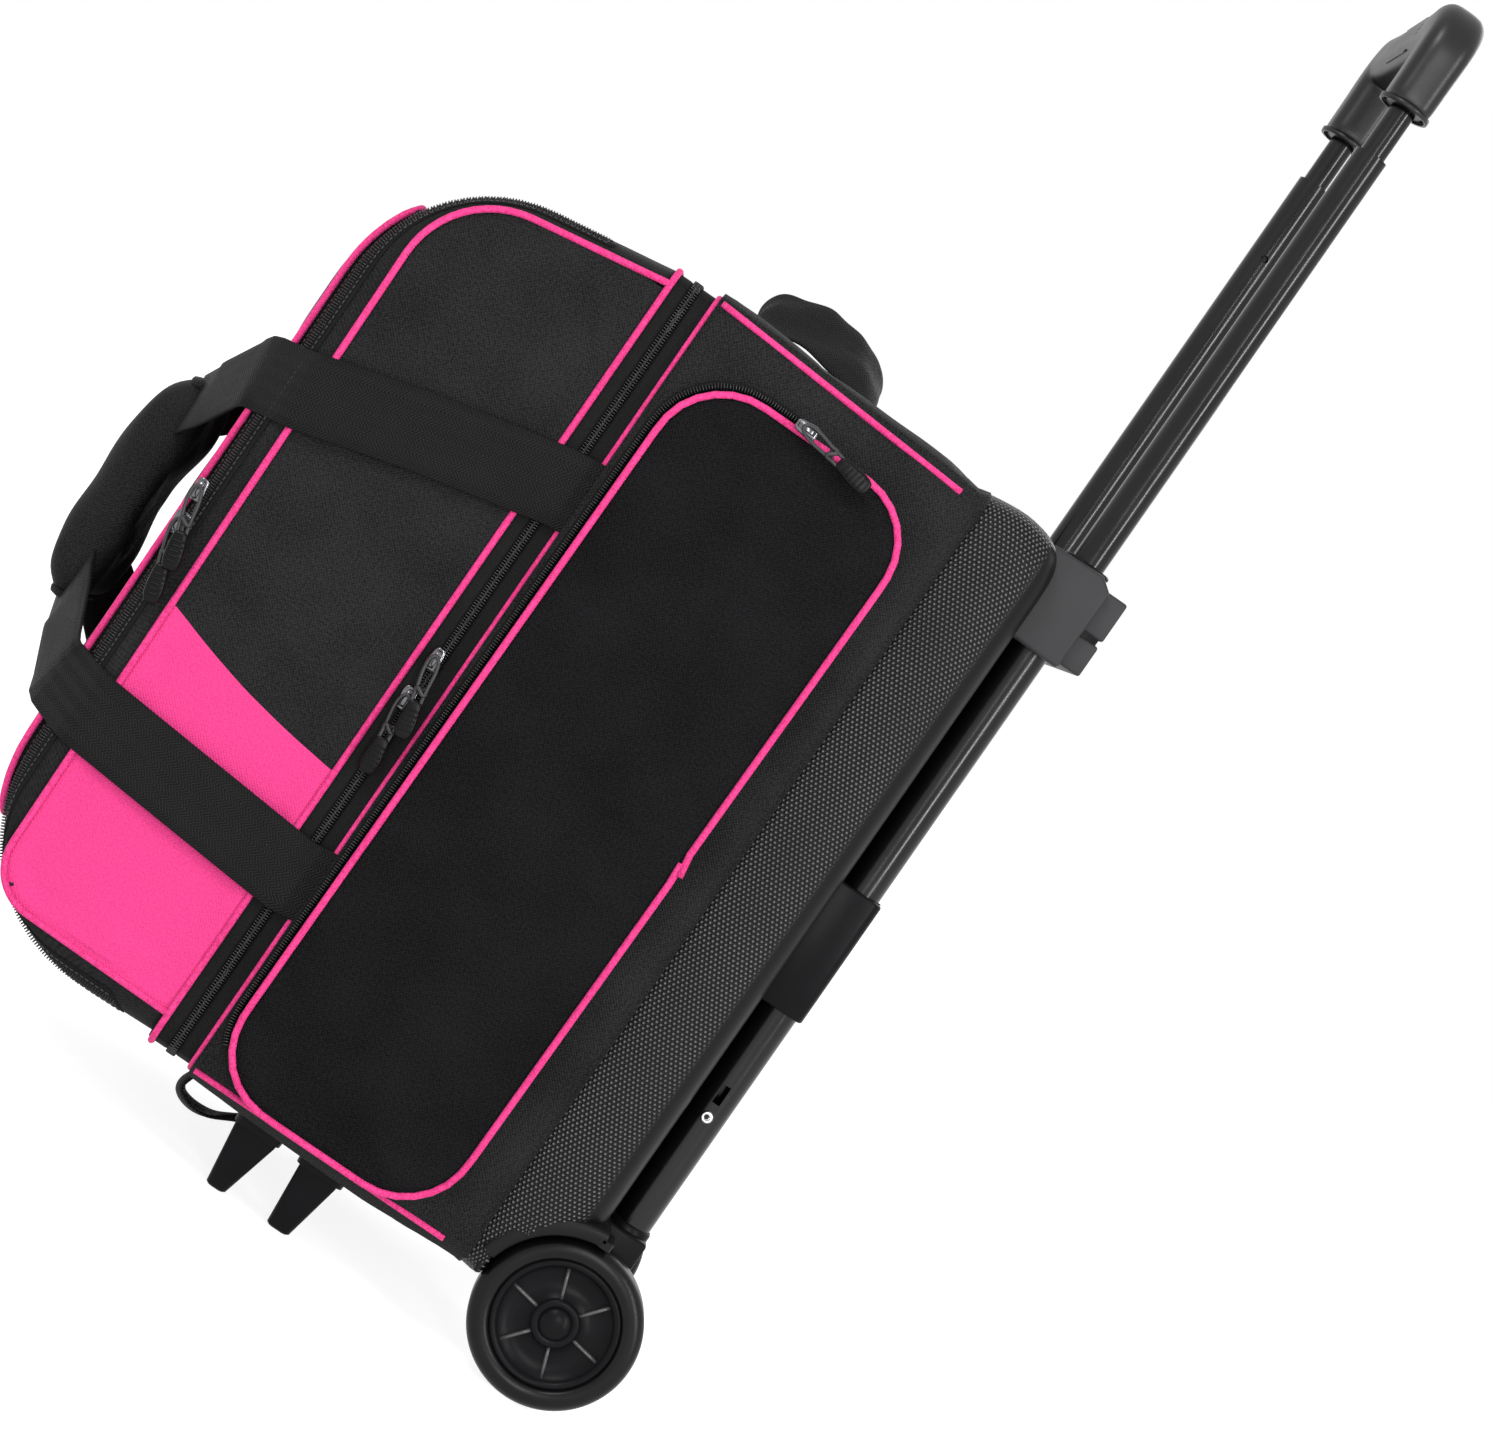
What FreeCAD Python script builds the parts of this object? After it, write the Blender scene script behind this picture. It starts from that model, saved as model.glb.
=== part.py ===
"""Rolling two-ball bowling bag: a soft bag on a hard base, two wheels and a two-stage pull handle.

+Z runs up the handle tubes, +X points to the near side (the side with the pocket) and -Y to the
front, where the lid opens. The origin is under the middle of the standing bag, on the floor.
All sizes are in millimetres. The word after "near" or "far" names the same piece on the two sides.
"""
import FreeCAD, Part
import math
import os
import re

import Sketcher

DIMENSIONS = [
    ("mid", -13.3, "x of the plane half way between the bag's two sides"),
    ("half_width", 121, "middle plane to the outer face of a side panel"),
    ("wall", 8, "padded fabric panel"),
    ("skin", 2, "webbing, zip tape and binding"),
    ("body_low", 45, "bottom end of the ball compartment"),
    ("body_high", 511, "top end of the ball compartment"),
    ("tray_back", 187, "back face of the hard base"),
    ("tray_front", 139, "edge where the fabric walls meet the base"),
    ("tray_wall", 5, "moulded base"),
    ("tray_round", 14, "round of the base along its back edges"),
    ("binding_width", 16, "webbing over the joint of walls and base"),
    ("mouth_y", -27, "edge of the ball compartment"),
    ("split_y", -40, "line where the main zip parts"),
    ("lid_y", -53, "edge of the lid's walls"),
    ("lid_low", 58, "bottom end of the lid"),
    ("lid_high", 510, "top end of the lid"),
    ("lid_front", -193, "front edge of the lid's walls"),
    ("lid_round", 42, "round of the lid's front corners"),
    ("lid_plate", 200, "depth of the outline that the lid's walls are cut from"),
    ("lid_floor", 4, "padding board between lid and ball compartment"),
    ("flap_thick", 8, "front flap of the lid"),
    ("flap_gap", 0.5, "gap between the lid's walls and the flap"),
    ("flap_inset", 3, "flap inside the lid's two sides"),
    ("flap_round", 12, "round of the flap's corners"),
    ("piping", 3.4, "piping cord in its fabric"),
    ("pocket_depth", 10, "inside depth of the side pocket"),
    ("pocket_skin", 7, "padded front of the side pocket"),
    ("pocket_low", 54, "bottom of the pocket"),
    ("pocket_high", 490, "top of the pocket"),
    ("pocket_front", -23.4, "pocket edge by the main zip"),
    ("pocket_back", 118, "pocket edge by the base"),
    ("pocket_round", 38, "round of the pocket's corners"),
    ("pocket_frame", 6, "thickness of the side pocket's frame"),
    ("ball", 216, "diameter of a bowling ball"),
    ("ball_gap", 6, "divider between the two balls"),
    ("divider_half", 100, "half the width of the divider"),
    ("divider_front", 20, "front edge of the divider"),
    ("board", 2, "board under the ball rings"),
    ("board_half", 112, "half the width of the board"),
    ("board_lift", 62, "board above the compartment's bottom, clear of the wheels"),
    ("cup_bore", 125, "hole of the foam ring that a ball sits in"),
    ("cup_ring", 20, "width of the foam ring"),
    ("cup_height", 20, "height of the foam ring"),
    ("axle_y", 196.25, "axle behind the middle"),
    ("axle_z", 45, "axle above the floor"),
    ("axle_radius", 4, "steel axle"),
    ("wheel_radius", 45, "outside of the tyre"),
    ("arch_gap", 4, "wheel arch outside the tyre"),
    ("arch_inner", 88, "middle plane to the inner end of a wheel arch"),
    ("arch_depth", 42, "width of a wheel arch"),
    ("tyre_round", 5, "round of the tyre's edges"),
    ("tyre_inside", 34, "outside of the rim"),
    ("rim_inside", 30, "inside of the rim's ring"),
    ("hub_radius", 12.5, "wheel hub"),
    ("spoke_width", 4, "one of six spokes"),
    ("wheel_width", 24, "tyre"),
    ("wheel_face", 119, "middle plane to a wheel's outer face"),
    ("rim_recess", 2, "rim inside the tyre's faces"),
    ("running_gap", 0.05, "radial clearance of a running fit"),
    ("slip", 0.2, "clearance between pieces that are fitted by hand"),
    ("tube_x", 76.4, "middle plane to a handle tube"),
    ("tube_y", 202.5, "handle tubes behind the middle"),
    ("outer_radius", 11, "outer tube"),
    ("outer_bore", 9.8, "inside of the outer tube"),
    ("outer_low", 62, "bottom of the outer tube"),
    ("outer_high", 505, "top of the outer tube"),
    ("slot_low", 179, "bottom of the lock slot in the outer tube"),
    ("slot_high", 190, "top of the lock slot"),
    ("slot_half", 2.2, "half the width of the lock slot, and radius of the lock holes"),
    ("lock_drop", 50, "lock hole below the top of the middle tube"),
    ("rivet_z", 171, "rivet under the lock slot"),
    ("rivet_radius", 3.4, "rivet head"),
    ("rivet_head", 1.5, "height of the rivet head"),
    ("middle_radius", 9, "middle tube"),
    ("middle_bore", 8, "inside of the middle tube"),
    ("middle_low", 365, "bottom of the middle tube, pulled out"),
    ("middle_high", 765, "top of the middle tube, pulled out"),
    ("inner_radius", 7, "inner tube"),
    ("inner_bore", 6, "inside of the inner tube"),
    ("inner_low", 415, "bottom of the inner tube, pushed in"),
    ("inner_high", 812, "top of the inner tube, pushed in"),
    ("guide_height", 12, "plastic guide under a telescoping tube"),
    ("bracket_low", 460, "top bracket"),
    ("bracket_high", 512, "top bracket"),
    ("bracket_half", 97, "half the width of the top bracket"),
    ("bracket_back", 217, "back of the top bracket"),
    ("lip_back", 230, "back of the top bracket's lip"),
    ("lip_inset", 4, "lip inside the ends of the top bracket"),
    ("clamp_low", 237, "middle clamp"),
    ("clamp_high", 310, "middle clamp"),
    ("clamp_half", 92, "half the width of the middle clamp"),
    ("clamp_back", 215, "back of the middle clamp"),
    ("fork_low", 30, "bottom of a wheel bracket"),
    ("fork_high", 100, "top of a wheel bracket"),
    ("fork_inner", 56, "middle plane to the inner side of a wheel bracket"),
    ("fork_width", 37, "width of a wheel bracket"),
    ("grip_low", 793, "bottom of the grip's arms"),
    ("grip_bar_low", 827, "underside of the grip's bar"),
    ("grip_high", 856, "top of the grip"),
    ("grip_arm", 30, "width of a grip arm"),
    ("grip_thick", 27, "thickness of the grip"),
    ("grip_round", 26, "round of the grip's shoulders"),
    ("grip_window", 12, "round of the opening under the grip's bar"),
    ("button_long", 32, "release button"),
    ("button_wide", 16, "release button"),
    ("button_round", 7, "round of the release button's ends"),
    ("button_travel", 4, "stroke of the release button"),
    ("foot_root", 22, "stand foot at its root"),
    ("foot_tip", 10, "stand foot at its tip"),
    ("foot_collar", 7, "collar over a stand foot"),
    ("foot_x", 88, "middle plane to the stand feet"),
    ("front_foot_y", 16, "front stand foot"),
    ("back_foot_y", 55, "back stand foot"),
    ("webbing", 40, "width of the carry webbing"),
    ("grab_width", 38, "width of the grab straps"),
    ("grab_front", -12, "front root of the grab straps"),
    ("grab_back", 64, "back root of the grab straps"),
    ("grab_rise", 36, "height of the grab straps' loops"),
    ("upper_leg_z", 383, "upper leg of the carry straps"),
    ("lower_leg_z", 163, "lower leg of the carry straps"),
    ("wrap_low", 200, "bottom of the padded wrap"),
    ("wrap_high", 330, "top of the padded wrap"),
    ("wrap_front", -241, "outside of the padded wrap"),
    ("wrap_back", -217, "hand side of the padded wrap"),
    ("wrap_half", 46, "half the width of the padded wrap"),
    ("wrap_round", 14, "round of the padded wrap's corners"),
    ("strap_turn", 70, "middle plane to where the carry straps meet above the flap"),
]

WORDS = {name for name, _, _ in DIMENSIONS}
SIDES = (("near", 1), ("far", -1))

doc = FreeCAD.newDocument("BowlingBag")
sheet = doc.addObject("Spreadsheet::Sheet", "Dims")
for row, (name, value, note) in enumerate(DIMENSIONS, start=1):
    sheet.set(f"A{row}", note)
    sheet.set(f"B{row}", str(value))
    sheet.setAlias(f"B{row}", name)
doc.recompute()

parts = []


def full(expression):
    """Write an expression with the sheet's name before each of its aliases."""
    def alias(match):
        word = match.group()
        return f"Dims.{word}" if word in WORDS else word

    return re.sub(r"[a-z_]+", alias, str(expression))


def size(name):
    """Return one value of the sheet."""
    return float(sheet.get(name))


def bind(thing, **values):
    """Bind properties to expressions; x, y and z stand for the Placement."""
    for key, expression in values.items():
        path = f"Placement.Base.{key}" if key in ("x", "y", "z") else key
        thing.setExpression(path, full(expression))


def keep(thing, label):
    """Name a finished sub-part, which is then written to its own file."""
    thing.Label = label
    parts.append(thing)
    return thing


# ---------------------------------------------------------------- plain solids

def block(label, x, y, z):
    """Box between pairs of expressions, one pair for each axis."""
    box = doc.addObject("Part::Box", label)
    bind(box, Length=f"{x[1]} - ({x[0]})", Width=f"{y[1]} - ({y[0]})", Height=f"{z[1]} - ({z[0]})")
    bind(box, x=x[0], y=y[0], z=z[0])
    return box


TURN = {"x": FreeCAD.Rotation(FreeCAD.Vector(0, 1, 0), 90), "y": FreeCAD.Rotation(FreeCAD.Vector(1, 0, 0), -90),
        "z": FreeCAD.Rotation()}


def rod(label, axis, x, y, z, radius, length):
    """Cylinder that starts at a point and runs along one axis."""
    cylinder = doc.addObject("Part::Cylinder", label)
    cylinder.Placement = FreeCAD.Placement(FreeCAD.Vector(), TURN[axis])
    bind(cylinder, Radius=radius, Height=length, x=x, y=y, z=z)
    return cylinder


def cut(label, base, tool):
    """Base less tool."""
    result = doc.addObject("Part::Cut", label)
    result.Base = base
    result.Tool = tool
    return result


def common(label, base, tool):
    """What two solids share."""
    result = doc.addObject("Part::Common", label)
    result.Base = base
    result.Tool = tool
    return result


def join(label, *things):
    """Several touching solids as one."""
    result = doc.addObject("Part::MultiFuse", label)
    result.Shapes = list(things)
    return result


def group(label, *things):
    """Separate solids in one node."""
    result = doc.addObject("Part::Compound", label)
    result.Links = list(things)
    return result


# ---------------------------------------------------------------- sketched solids

def new_body(label, plane):
    """PartDesign body with one empty sketch on an origin plane."""
    body = doc.addObject("PartDesign::Body", label)
    return body, new_sketch(body, plane, label + "_outline")


def new_sketch(body, plane, name):
    """Empty sketch on one of the body's origin planes."""
    sketch = body.newObject("Sketcher::SketchObject", name)
    face = next(f for f in body.Origin.OriginFeatures if f.Role == plane)
    sketch.AttachmentSupport = [(face, "")]
    sketch.MapMode = "FlatFace"
    return sketch


def draw_rounded(sketch, tag, width, height, radius):
    """Rectangle with rounded corners about the sketch's origin; its sizes are expressions."""
    wide, tall, turn = (doc_value(e) for e in (width, height, radius))
    half_w = wide / 2 - turn
    half_h = tall / 2 - turn
    first = sketch.GeometryCount
    point = FreeCAD.Vector
    ends = [((-half_w, -tall / 2), (half_w, -tall / 2)), ((wide / 2, -half_h), (wide / 2, half_h)),
            ((half_w, tall / 2), (-half_w, tall / 2)), ((-wide / 2, half_h), (-wide / 2, -half_h))]
    for start, end in ends:
        sketch.addGeometry(Part.LineSegment(point(*start, 0), point(*end, 0)), False)
    corners = [(half_w, -half_h, -90), (half_w, half_h, 0), (-half_w, half_h, 90), (-half_w, -half_h, 180)]
    for cx, cy, start in corners:
        circle = Part.Circle(point(cx, cy, 0), point(0, 0, 1), turn)
        arc = Part.ArcOfCircle(circle, math.radians(start), math.radians(start + 90))
        sketch.addGeometry(arc, False)
    rule = Sketcher.Constraint
    for i in range(4):
        line, arc, following = first + i, first + 4 + i, first + (i + 1) % 4
        sketch.addConstraint(rule("Tangent", line, 2, arc, 1))
        sketch.addConstraint(rule("Tangent", arc, 2, following, 1))
    sketch.addConstraint(rule("Horizontal", first))
    sketch.addConstraint(rule("Vertical", first + 1))
    for i in (1, 2, 3):
        sketch.addConstraint(rule("Equal", first + 4, first + 4 + i))
    sketch.addConstraint(rule("Symmetric", first + 4, 3, first + 6, 3, -1, 1))
    measures = (("radius", rule("Radius", first + 4, turn), radius),
                ("width", rule("Distance", first, wide - 2 * turn), f"{width} - 2 * ({radius})"),
                ("height", rule("Distance", first + 1, tall - 2 * turn), f"{height} - 2 * ({radius})"))
    for name, constraint, expression in measures:
        index = sketch.addConstraint(constraint)
        sketch.renameConstraint(index, f"{tag}_{name}")
        sketch.setExpression(f"Constraints.{tag}_{name}", full(expression))


def draw_circle(sketch, tag, radius, away=None):
    """Circle about the origin, or away from it along the sketch's own x."""
    value = doc_value(radius)
    reach = doc_value(away) if away else 0
    index = sketch.addGeometry(Part.Circle(FreeCAD.Vector(reach, 0, 0), FreeCAD.Vector(0, 0, 1), value), False)
    if away:
        sketch.addConstraint(Sketcher.Constraint("PointOnObject", index, 3, -1))
        place = sketch.addConstraint(Sketcher.Constraint("DistanceX", -1, 1, index, 3, reach))
        sketch.renameConstraint(place, f"{tag}_away")
        sketch.setExpression(f"Constraints.{tag}_away", full(away))
    else:
        sketch.addConstraint(Sketcher.Constraint("Coincident", index, 3, -1, 1))
    rule = sketch.addConstraint(Sketcher.Constraint("Radius", index, value))
    sketch.renameConstraint(rule, f"{tag}_radius")
    sketch.setExpression(f"Constraints.{tag}_radius", full(radius))


probe = doc.addObject("Part::Box", "probe")


def doc_value(expression):
    """Value of an expression of the sheet's aliases, worked out by a scratch box."""
    probe.setExpression("Placement.Base.x", full(expression))
    probe.recompute()
    return probe.Placement.Base.x


def pad(body, sketch, length, name="Pad", midplane=False):
    """Extrude a sketch of a body."""
    feature = body.newObject("PartDesign::Pad", f"{body.Name}_{name}")
    feature.Profile = sketch
    if midplane:
        feature.Midplane = True
    feature.setExpression("Length", full(length))
    body.Tip = feature
    return feature


def rounded_plate(label, plane, width, height, radius, thick, x, y, z, inside=None):
    """Plate, or ring when inside gives the ring's width, extruded along the plane's normal."""
    body, sketch = new_body(label, plane)
    draw_rounded(sketch, "outer", width, height, radius)
    if inside:
        draw_rounded(sketch, "inner", f"{width} - 2 * ({inside})", f"{height} - 2 * ({inside})",
                     f"{radius} - ({inside})")
    pad(body, sketch, thick)
    bind(body, x=x, y=y, z=z)
    return body


def tube(label, side, radius, bore, low, high):
    """Handle tube of one side."""
    body, sketch = new_body(label, "XY_Plane")
    draw_circle(sketch, "outside", radius)
    if bore:
        draw_circle(sketch, "bore", bore)
    pad(body, sketch, f"{high} - ({low})")
    bind(body, x=f"mid + {side} * tube_x", y="tube_y", z=low)
    return body


def ribbon(label, points, thick, along, start, width):
    """Flat strap: a centre line in one plane, given a thickness and then a width along an axis.

    along is "x" for a line of (y, z) points and "z" for a line of (x, y) points.
    """
    left = []
    right = []
    for i, here in enumerate(points):
        before = points[max(i - 1, 0)]
        after = points[min(i + 1, len(points) - 1)]
        run = (after[0] - before[0], after[1] - before[1])
        length = math.hypot(*run)
        normal = (-run[1] / length, run[0] / length)
        left.append((here[0] + normal[0] * thick / 2, here[1] + normal[1] * thick / 2))
        right.append((here[0] - normal[0] * thick / 2, here[1] - normal[1] * thick / 2))
    outline = left + right[::-1]
    if along == "x":
        corners = [FreeCAD.Vector(start, a, b) for a, b in outline]
        direction = FreeCAD.Vector(width, 0, 0)
    else:
        corners = [FreeCAD.Vector(a, b, start) for a, b in outline]
        direction = FreeCAD.Vector(0, 0, width)
    face = Part.Face(Part.makePolygon(corners + corners[:1]))
    strap = doc.addObject("Part::Feature", label)
    strap.Shape = face.extrude(direction)
    return strap


# ---------------------------------------------------------------- base

NEAR_FACE = "mid + half_width"
FAR_FACE = "mid - half_width"
INNER_NEAR = "mid + half_width - wall"
INNER_FAR = "mid - half_width + wall"
BODY_MID_Z = "(body_low + body_high) / 2"


def build_tray():
    """Open box of the hard base, rounded along its back edges and cut out round the wheels."""
    body, sketch = new_body("tray_shell", "XZ_Plane")
    draw_rounded(sketch, "outer", "2 * half_width", "body_high - body_low", "tray_round")
    outside = pad(body, sketch, "tray_back - tray_front")
    doc.recompute()
    back_edges = [f"Edge{i}" for i, e in enumerate(outside.Shape.Edges, start=1)
                  if all(abs(v.Point.y) < 1e-6 for v in e.Vertexes)]
    fillet = body.newObject("PartDesign::Fillet", "tray_back_round")
    fillet.Base = (outside, back_edges)
    fillet.setExpression("Radius", full("tray_round"))
    inner = new_sketch(body, "XZ_Plane", "tray_inside")
    draw_rounded(inner, "hollow", "2 * (half_width - tray_wall)", "body_high - body_low - 2 * tray_wall",
                 "tray_round - tray_wall")
    hollow = body.newObject("PartDesign::Pocket", "tray_hollow")
    hollow.Profile = inner
    hollow.setExpression("Length", full("tray_back - tray_front"))
    hollow.Reversed = True
    inner.AttachmentOffset = FreeCAD.Placement(FreeCAD.Vector(0, 0, size("tray_wall")), FreeCAD.Rotation())
    body.Tip = hollow
    bind(body, x="mid", y="tray_back", z=BODY_MID_Z)
    starts = {"near": "mid + arch_inner", "far": "mid - arch_inner - arch_depth"}
    arches = [rod(f"wheel_arch_{name}", "x", start, "axle_y", "axle_z", "wheel_radius + arch_gap", "arch_depth")
              for name, start in starts.items()]
    return keep(cut("tray", body, join("wheel_arches", *arches)), "base_tray")


def build_inside():
    """Foam cradle: a board with two ball rings, and the divider between the balls."""
    floor = "tray_back - tray_wall - board"
    base = block("base_board", ("mid - board_half", "mid + board_half"), (floor, "tray_back - tray_wall"),
                 ("body_low + board_lift", "body_high - wall"))
    rings = []
    for word, place in (("lower", -1), ("upper", 1)):
        centre = f"{BODY_MID_Z} + {place} * (ball / 2 + ball_gap)"
        disc = rod(f"{word}_disc", "y", "mid", f"{floor} - cup_height", centre, "cup_bore / 2 + cup_ring",
                   "cup_height")
        hole = rod(f"{word}_hole", "y", "mid", f"{floor} - cup_height - 1", centre, "cup_bore / 2",
                   "cup_height + 1")
        rings.append(cut(f"{word}_ring", disc, hole))
    divider = block("divider", ("mid - divider_half", "mid + divider_half"), ("divider_front", floor),
                    (f"{BODY_MID_Z} - ball_gap / 2", f"{BODY_MID_Z} + ball_gap / 2"))
    keep(join("cradle", base, divider, *rings), "ball_cradle")


def build_walls():
    """Padded walls of the ball compartment and the webbing round their joint with the base."""
    height = ("body_low", "body_high")
    depth = ("mouth_y", "tray_front")
    keep(block("near_wall", (INNER_NEAR, NEAR_FACE), depth, height), "near_side_panel")
    keep(block("far_wall", (FAR_FACE, INNER_FAR), depth, height), "far_side_panel")
    keep(block("top_wall", (INNER_FAR, INNER_NEAR), depth, ("body_high - wall", "body_high")), "top_end_panel")
    keep(block("bottom_wall", (INNER_FAR, INNER_NEAR), depth, ("body_low", "body_low + wall")),
         "bottom_end_panel")
    outside = block("binding_outside", (f"{FAR_FACE} - skin", f"{NEAR_FACE} + skin"),
                    ("tray_front - binding_width", "tray_front"), ("body_low - skin", "body_high + skin"))
    inside = block("binding_inside", (FAR_FACE, NEAR_FACE),
                   ("tray_front - binding_width - 1", "tray_front + 1"), height)
    keep(cut("binding", outside, inside), "base_binding")


def three_sided_band(label, low, high, bottom, top, out, thick):
    """Band round the near side and both ends, open on the far side."""
    outside = block(f"{label}_outside", (FAR_FACE, f"{NEAR_FACE} + {out}"), (low, high),
                    (f"{bottom} - {out}", f"{top} + {out}"))
    inside = block(f"{label}_inside", (f"{FAR_FACE} - 1", f"{NEAR_FACE} + {out} - ({thick})"),
                   (f"{low} - 1", f"{high} + 1"), (f"{bottom} - {out} + {thick}", f"{top} + {out} - ({thick})"))
    return cut(label, outside, inside)


def build_pocket():
    """Side pocket: a frame that carries its zip, a padded front, and piping round the front."""
    wide = "pocket_back - pocket_front"
    tall = "pocket_high - pocket_low"
    y_mid = "(pocket_front + pocket_back) / 2"
    z_mid = "(pocket_low + pocket_high) / 2"
    front = f"{NEAR_FACE} + pocket_depth"
    keep(rounded_plate("pocket_frame_ring", "YZ_Plane", wide, tall, "pocket_round", "pocket_depth", NEAR_FACE,
                       y_mid, z_mid, inside="pocket_frame"), "pocket_gusset")
    keep(rounded_plate("pocket_front_plate", "YZ_Plane", wide, tall, "pocket_round", "pocket_skin", front,
                       y_mid, z_mid), "pocket_panel")
    keep(rounded_plate("pocket_cord", "YZ_Plane", wide, tall, "pocket_round", "piping",
                       f"{front} + pocket_skin", y_mid, z_mid, inside="piping"), "pocket_piping")


def build_main_zip():
    """Zip tapes and piping along the mouth of the compartment and the edge of the lid."""
    keep(three_sided_band("body_tape", "split_y + slip", "mouth_y", "body_low", "body_high", "skin", "skin"),
         "body_zip_tape")
    keep(three_sided_band("body_cord", "mouth_y + slip", "mouth_y + piping", "body_low", "body_high",
                          "piping", "piping"), "body_piping")
    keep(three_sided_band("lid_tape", "lid_y", "split_y - slip", "lid_low", "lid_high", "skin", "skin"),
         "lid_zip_tape")


# ---------------------------------------------------------------- lid and flap

def build_lid():
    """Shoe compartment: floor, two side walls, and end walls that turn round the front corners."""
    y_mid = "lid_front + lid_plate / 2"
    z_mid = "(lid_low + lid_high) / 2"
    tall = "lid_high - lid_low"
    keep(block("floor_board", (f"{INNER_FAR} + slip", f"{INNER_NEAR} - slip"), ("lid_y", "lid_y + lid_floor"),
               ("lid_low + slip", "lid_high - slip")), "lid_floor")
    window = ("lid_front - 1", "lid_y")
    sides = (("near_lid", INNER_NEAR, "lid_near_side"), ("far_lid", FAR_FACE, "lid_far_side"))
    for label, start, node in sides:
        plate = rounded_plate(f"{label}_plate", "YZ_Plane", "lid_plate", tall, "lid_round", "wall", start,
                              y_mid, z_mid)
        front_half = block(f"{label}_window", (f"{start} - 1", f"{start} + wall + 1"), window,
                           ("lid_low - 1", "lid_high + 1"))
        keep(common(label, plate, front_half), node)
    ring = rounded_plate("lid_gusset", "YZ_Plane", "lid_plate", tall, "lid_round",
                         f"{INNER_NEAR} - ({INNER_FAR})", INNER_FAR, y_mid, z_mid, inside="wall - 2")
    for label, heights, node in (("top_gusset", ("lid_high - lid_round", "lid_high + 1"), "lid_top_end"),
                                 ("bottom_gusset", ("lid_low - 1", "lid_low + lid_round"), "lid_bottom_end")):
        half = block(f"{label}_window", (f"{INNER_FAR} - 1", f"{INNER_NEAR} + 1"), window, heights)
        keep(common(label, ring, half), node)
    cord = rounded_plate("lid_cord_ring", "YZ_Plane", "lid_plate", tall, "lid_round", "piping", NEAR_FACE,
                         y_mid, z_mid, inside="piping")
    cord_window = block("lid_cord_window", (f"{NEAR_FACE} - 1", f"{NEAR_FACE} + piping + 1"),
                        ("lid_front - 1", "lid_y - 1"), ("lid_low - 1", "lid_high + 1"))
    keep(common("lid_cord", cord, cord_window), "lid_piping")


def build_flap():
    """Front flap of the shoe compartment and the piping round it."""
    tall = "lid_high - lid_low - 2 * lid_round"
    z_mid = "(lid_low + lid_high) / 2"
    front = "lid_front - flap_gap"
    wide = "2 * (half_width - flap_inset)"
    keep(rounded_plate("flap_plate", "XZ_Plane", wide, tall, "flap_round", "flap_thick", "mid", front, z_mid),
         "flap_panel")
    keep(rounded_plate("flap_cord", "XZ_Plane", f"{wide} + 2 * (piping + slip)",
                       f"{tall} + 2 * (piping + slip)", "flap_round + piping + slip", "piping", "mid",
                       front, z_mid, inside="piping"), "flap_piping")


# ---------------------------------------------------------------- handle

def build_outer_tubes():
    """Outer tubes with the slot of the lock, and the rivet beside it."""
    rivets = []
    for name, side in SIDES:
        pipe = tube(f"{name}_outer_pipe", side, "outer_radius", "outer_bore", "outer_low", "outer_high")
        face = f"mid + {side} * (tube_x + outer_radius)"
        slot = block(f"{name}_lock_slot", (f"{face} - slot_half", f"{face} + slot_half"),
                     ("tube_y - slot_half", "tube_y + slot_half"), ("slot_low", "slot_high"))
        keep(cut(f"{name}_outer", pipe, slot), f"{name}_outer_tube")
        start = f"{face} + running_gap" if side > 0 else f"{face} - running_gap - rivet_head"
        rivets.append(rod(f"{name}_rivet", "x", start, "tube_y", "rivet_z", "rivet_radius", "rivet_head"))
    keep(group("rivets", *rivets), "tube_rivets")


def tube_holes(label, radius, low, high):
    """Pair of upright holes round the handle tubes."""
    return join(label, *[rod(f"{label}_{name}", "z", f"mid + {side} * tube_x", "tube_y", low, radius,
                             f"{high} - ({low})") for name, side in SIDES])


def build_tube_mounts():
    """Top bracket with its lip, and the saddle that clamps the tubes half way."""
    core = block("bracket_block", ("mid - bracket_half", "mid + bracket_half"),
                 ("tray_back + slip", "bracket_back"), ("bracket_low", "bracket_high"))
    lip = block("bracket_lip", ("mid - bracket_half + lip_inset", "mid + bracket_half - lip_inset"),
                ("bracket_back", "lip_back"), ("bracket_low + 6", "bracket_high - 3"))
    holes = join("bracket_holes",
                 tube_holes("bracket_socket", "outer_radius + running_gap", "bracket_low - 1",
                            "outer_high + slip"),
                 tube_holes("bracket_throat", "middle_radius + running_gap", "bracket_low", "bracket_high + 1"))
    keep(cut("bracket", join("bracket_body", core, lip), holes), "top_bracket")
    saddle = block("saddle_block", ("mid - clamp_half", "mid + clamp_half"), ("tray_back + slip", "clamp_back"),
                   ("clamp_low", "clamp_high"))
    keep(cut("saddle", saddle, tube_holes("saddle_holes", "outer_radius + running_gap", "clamp_low - 1",
                                          "clamp_high + 1")), "middle_clamp")


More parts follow.
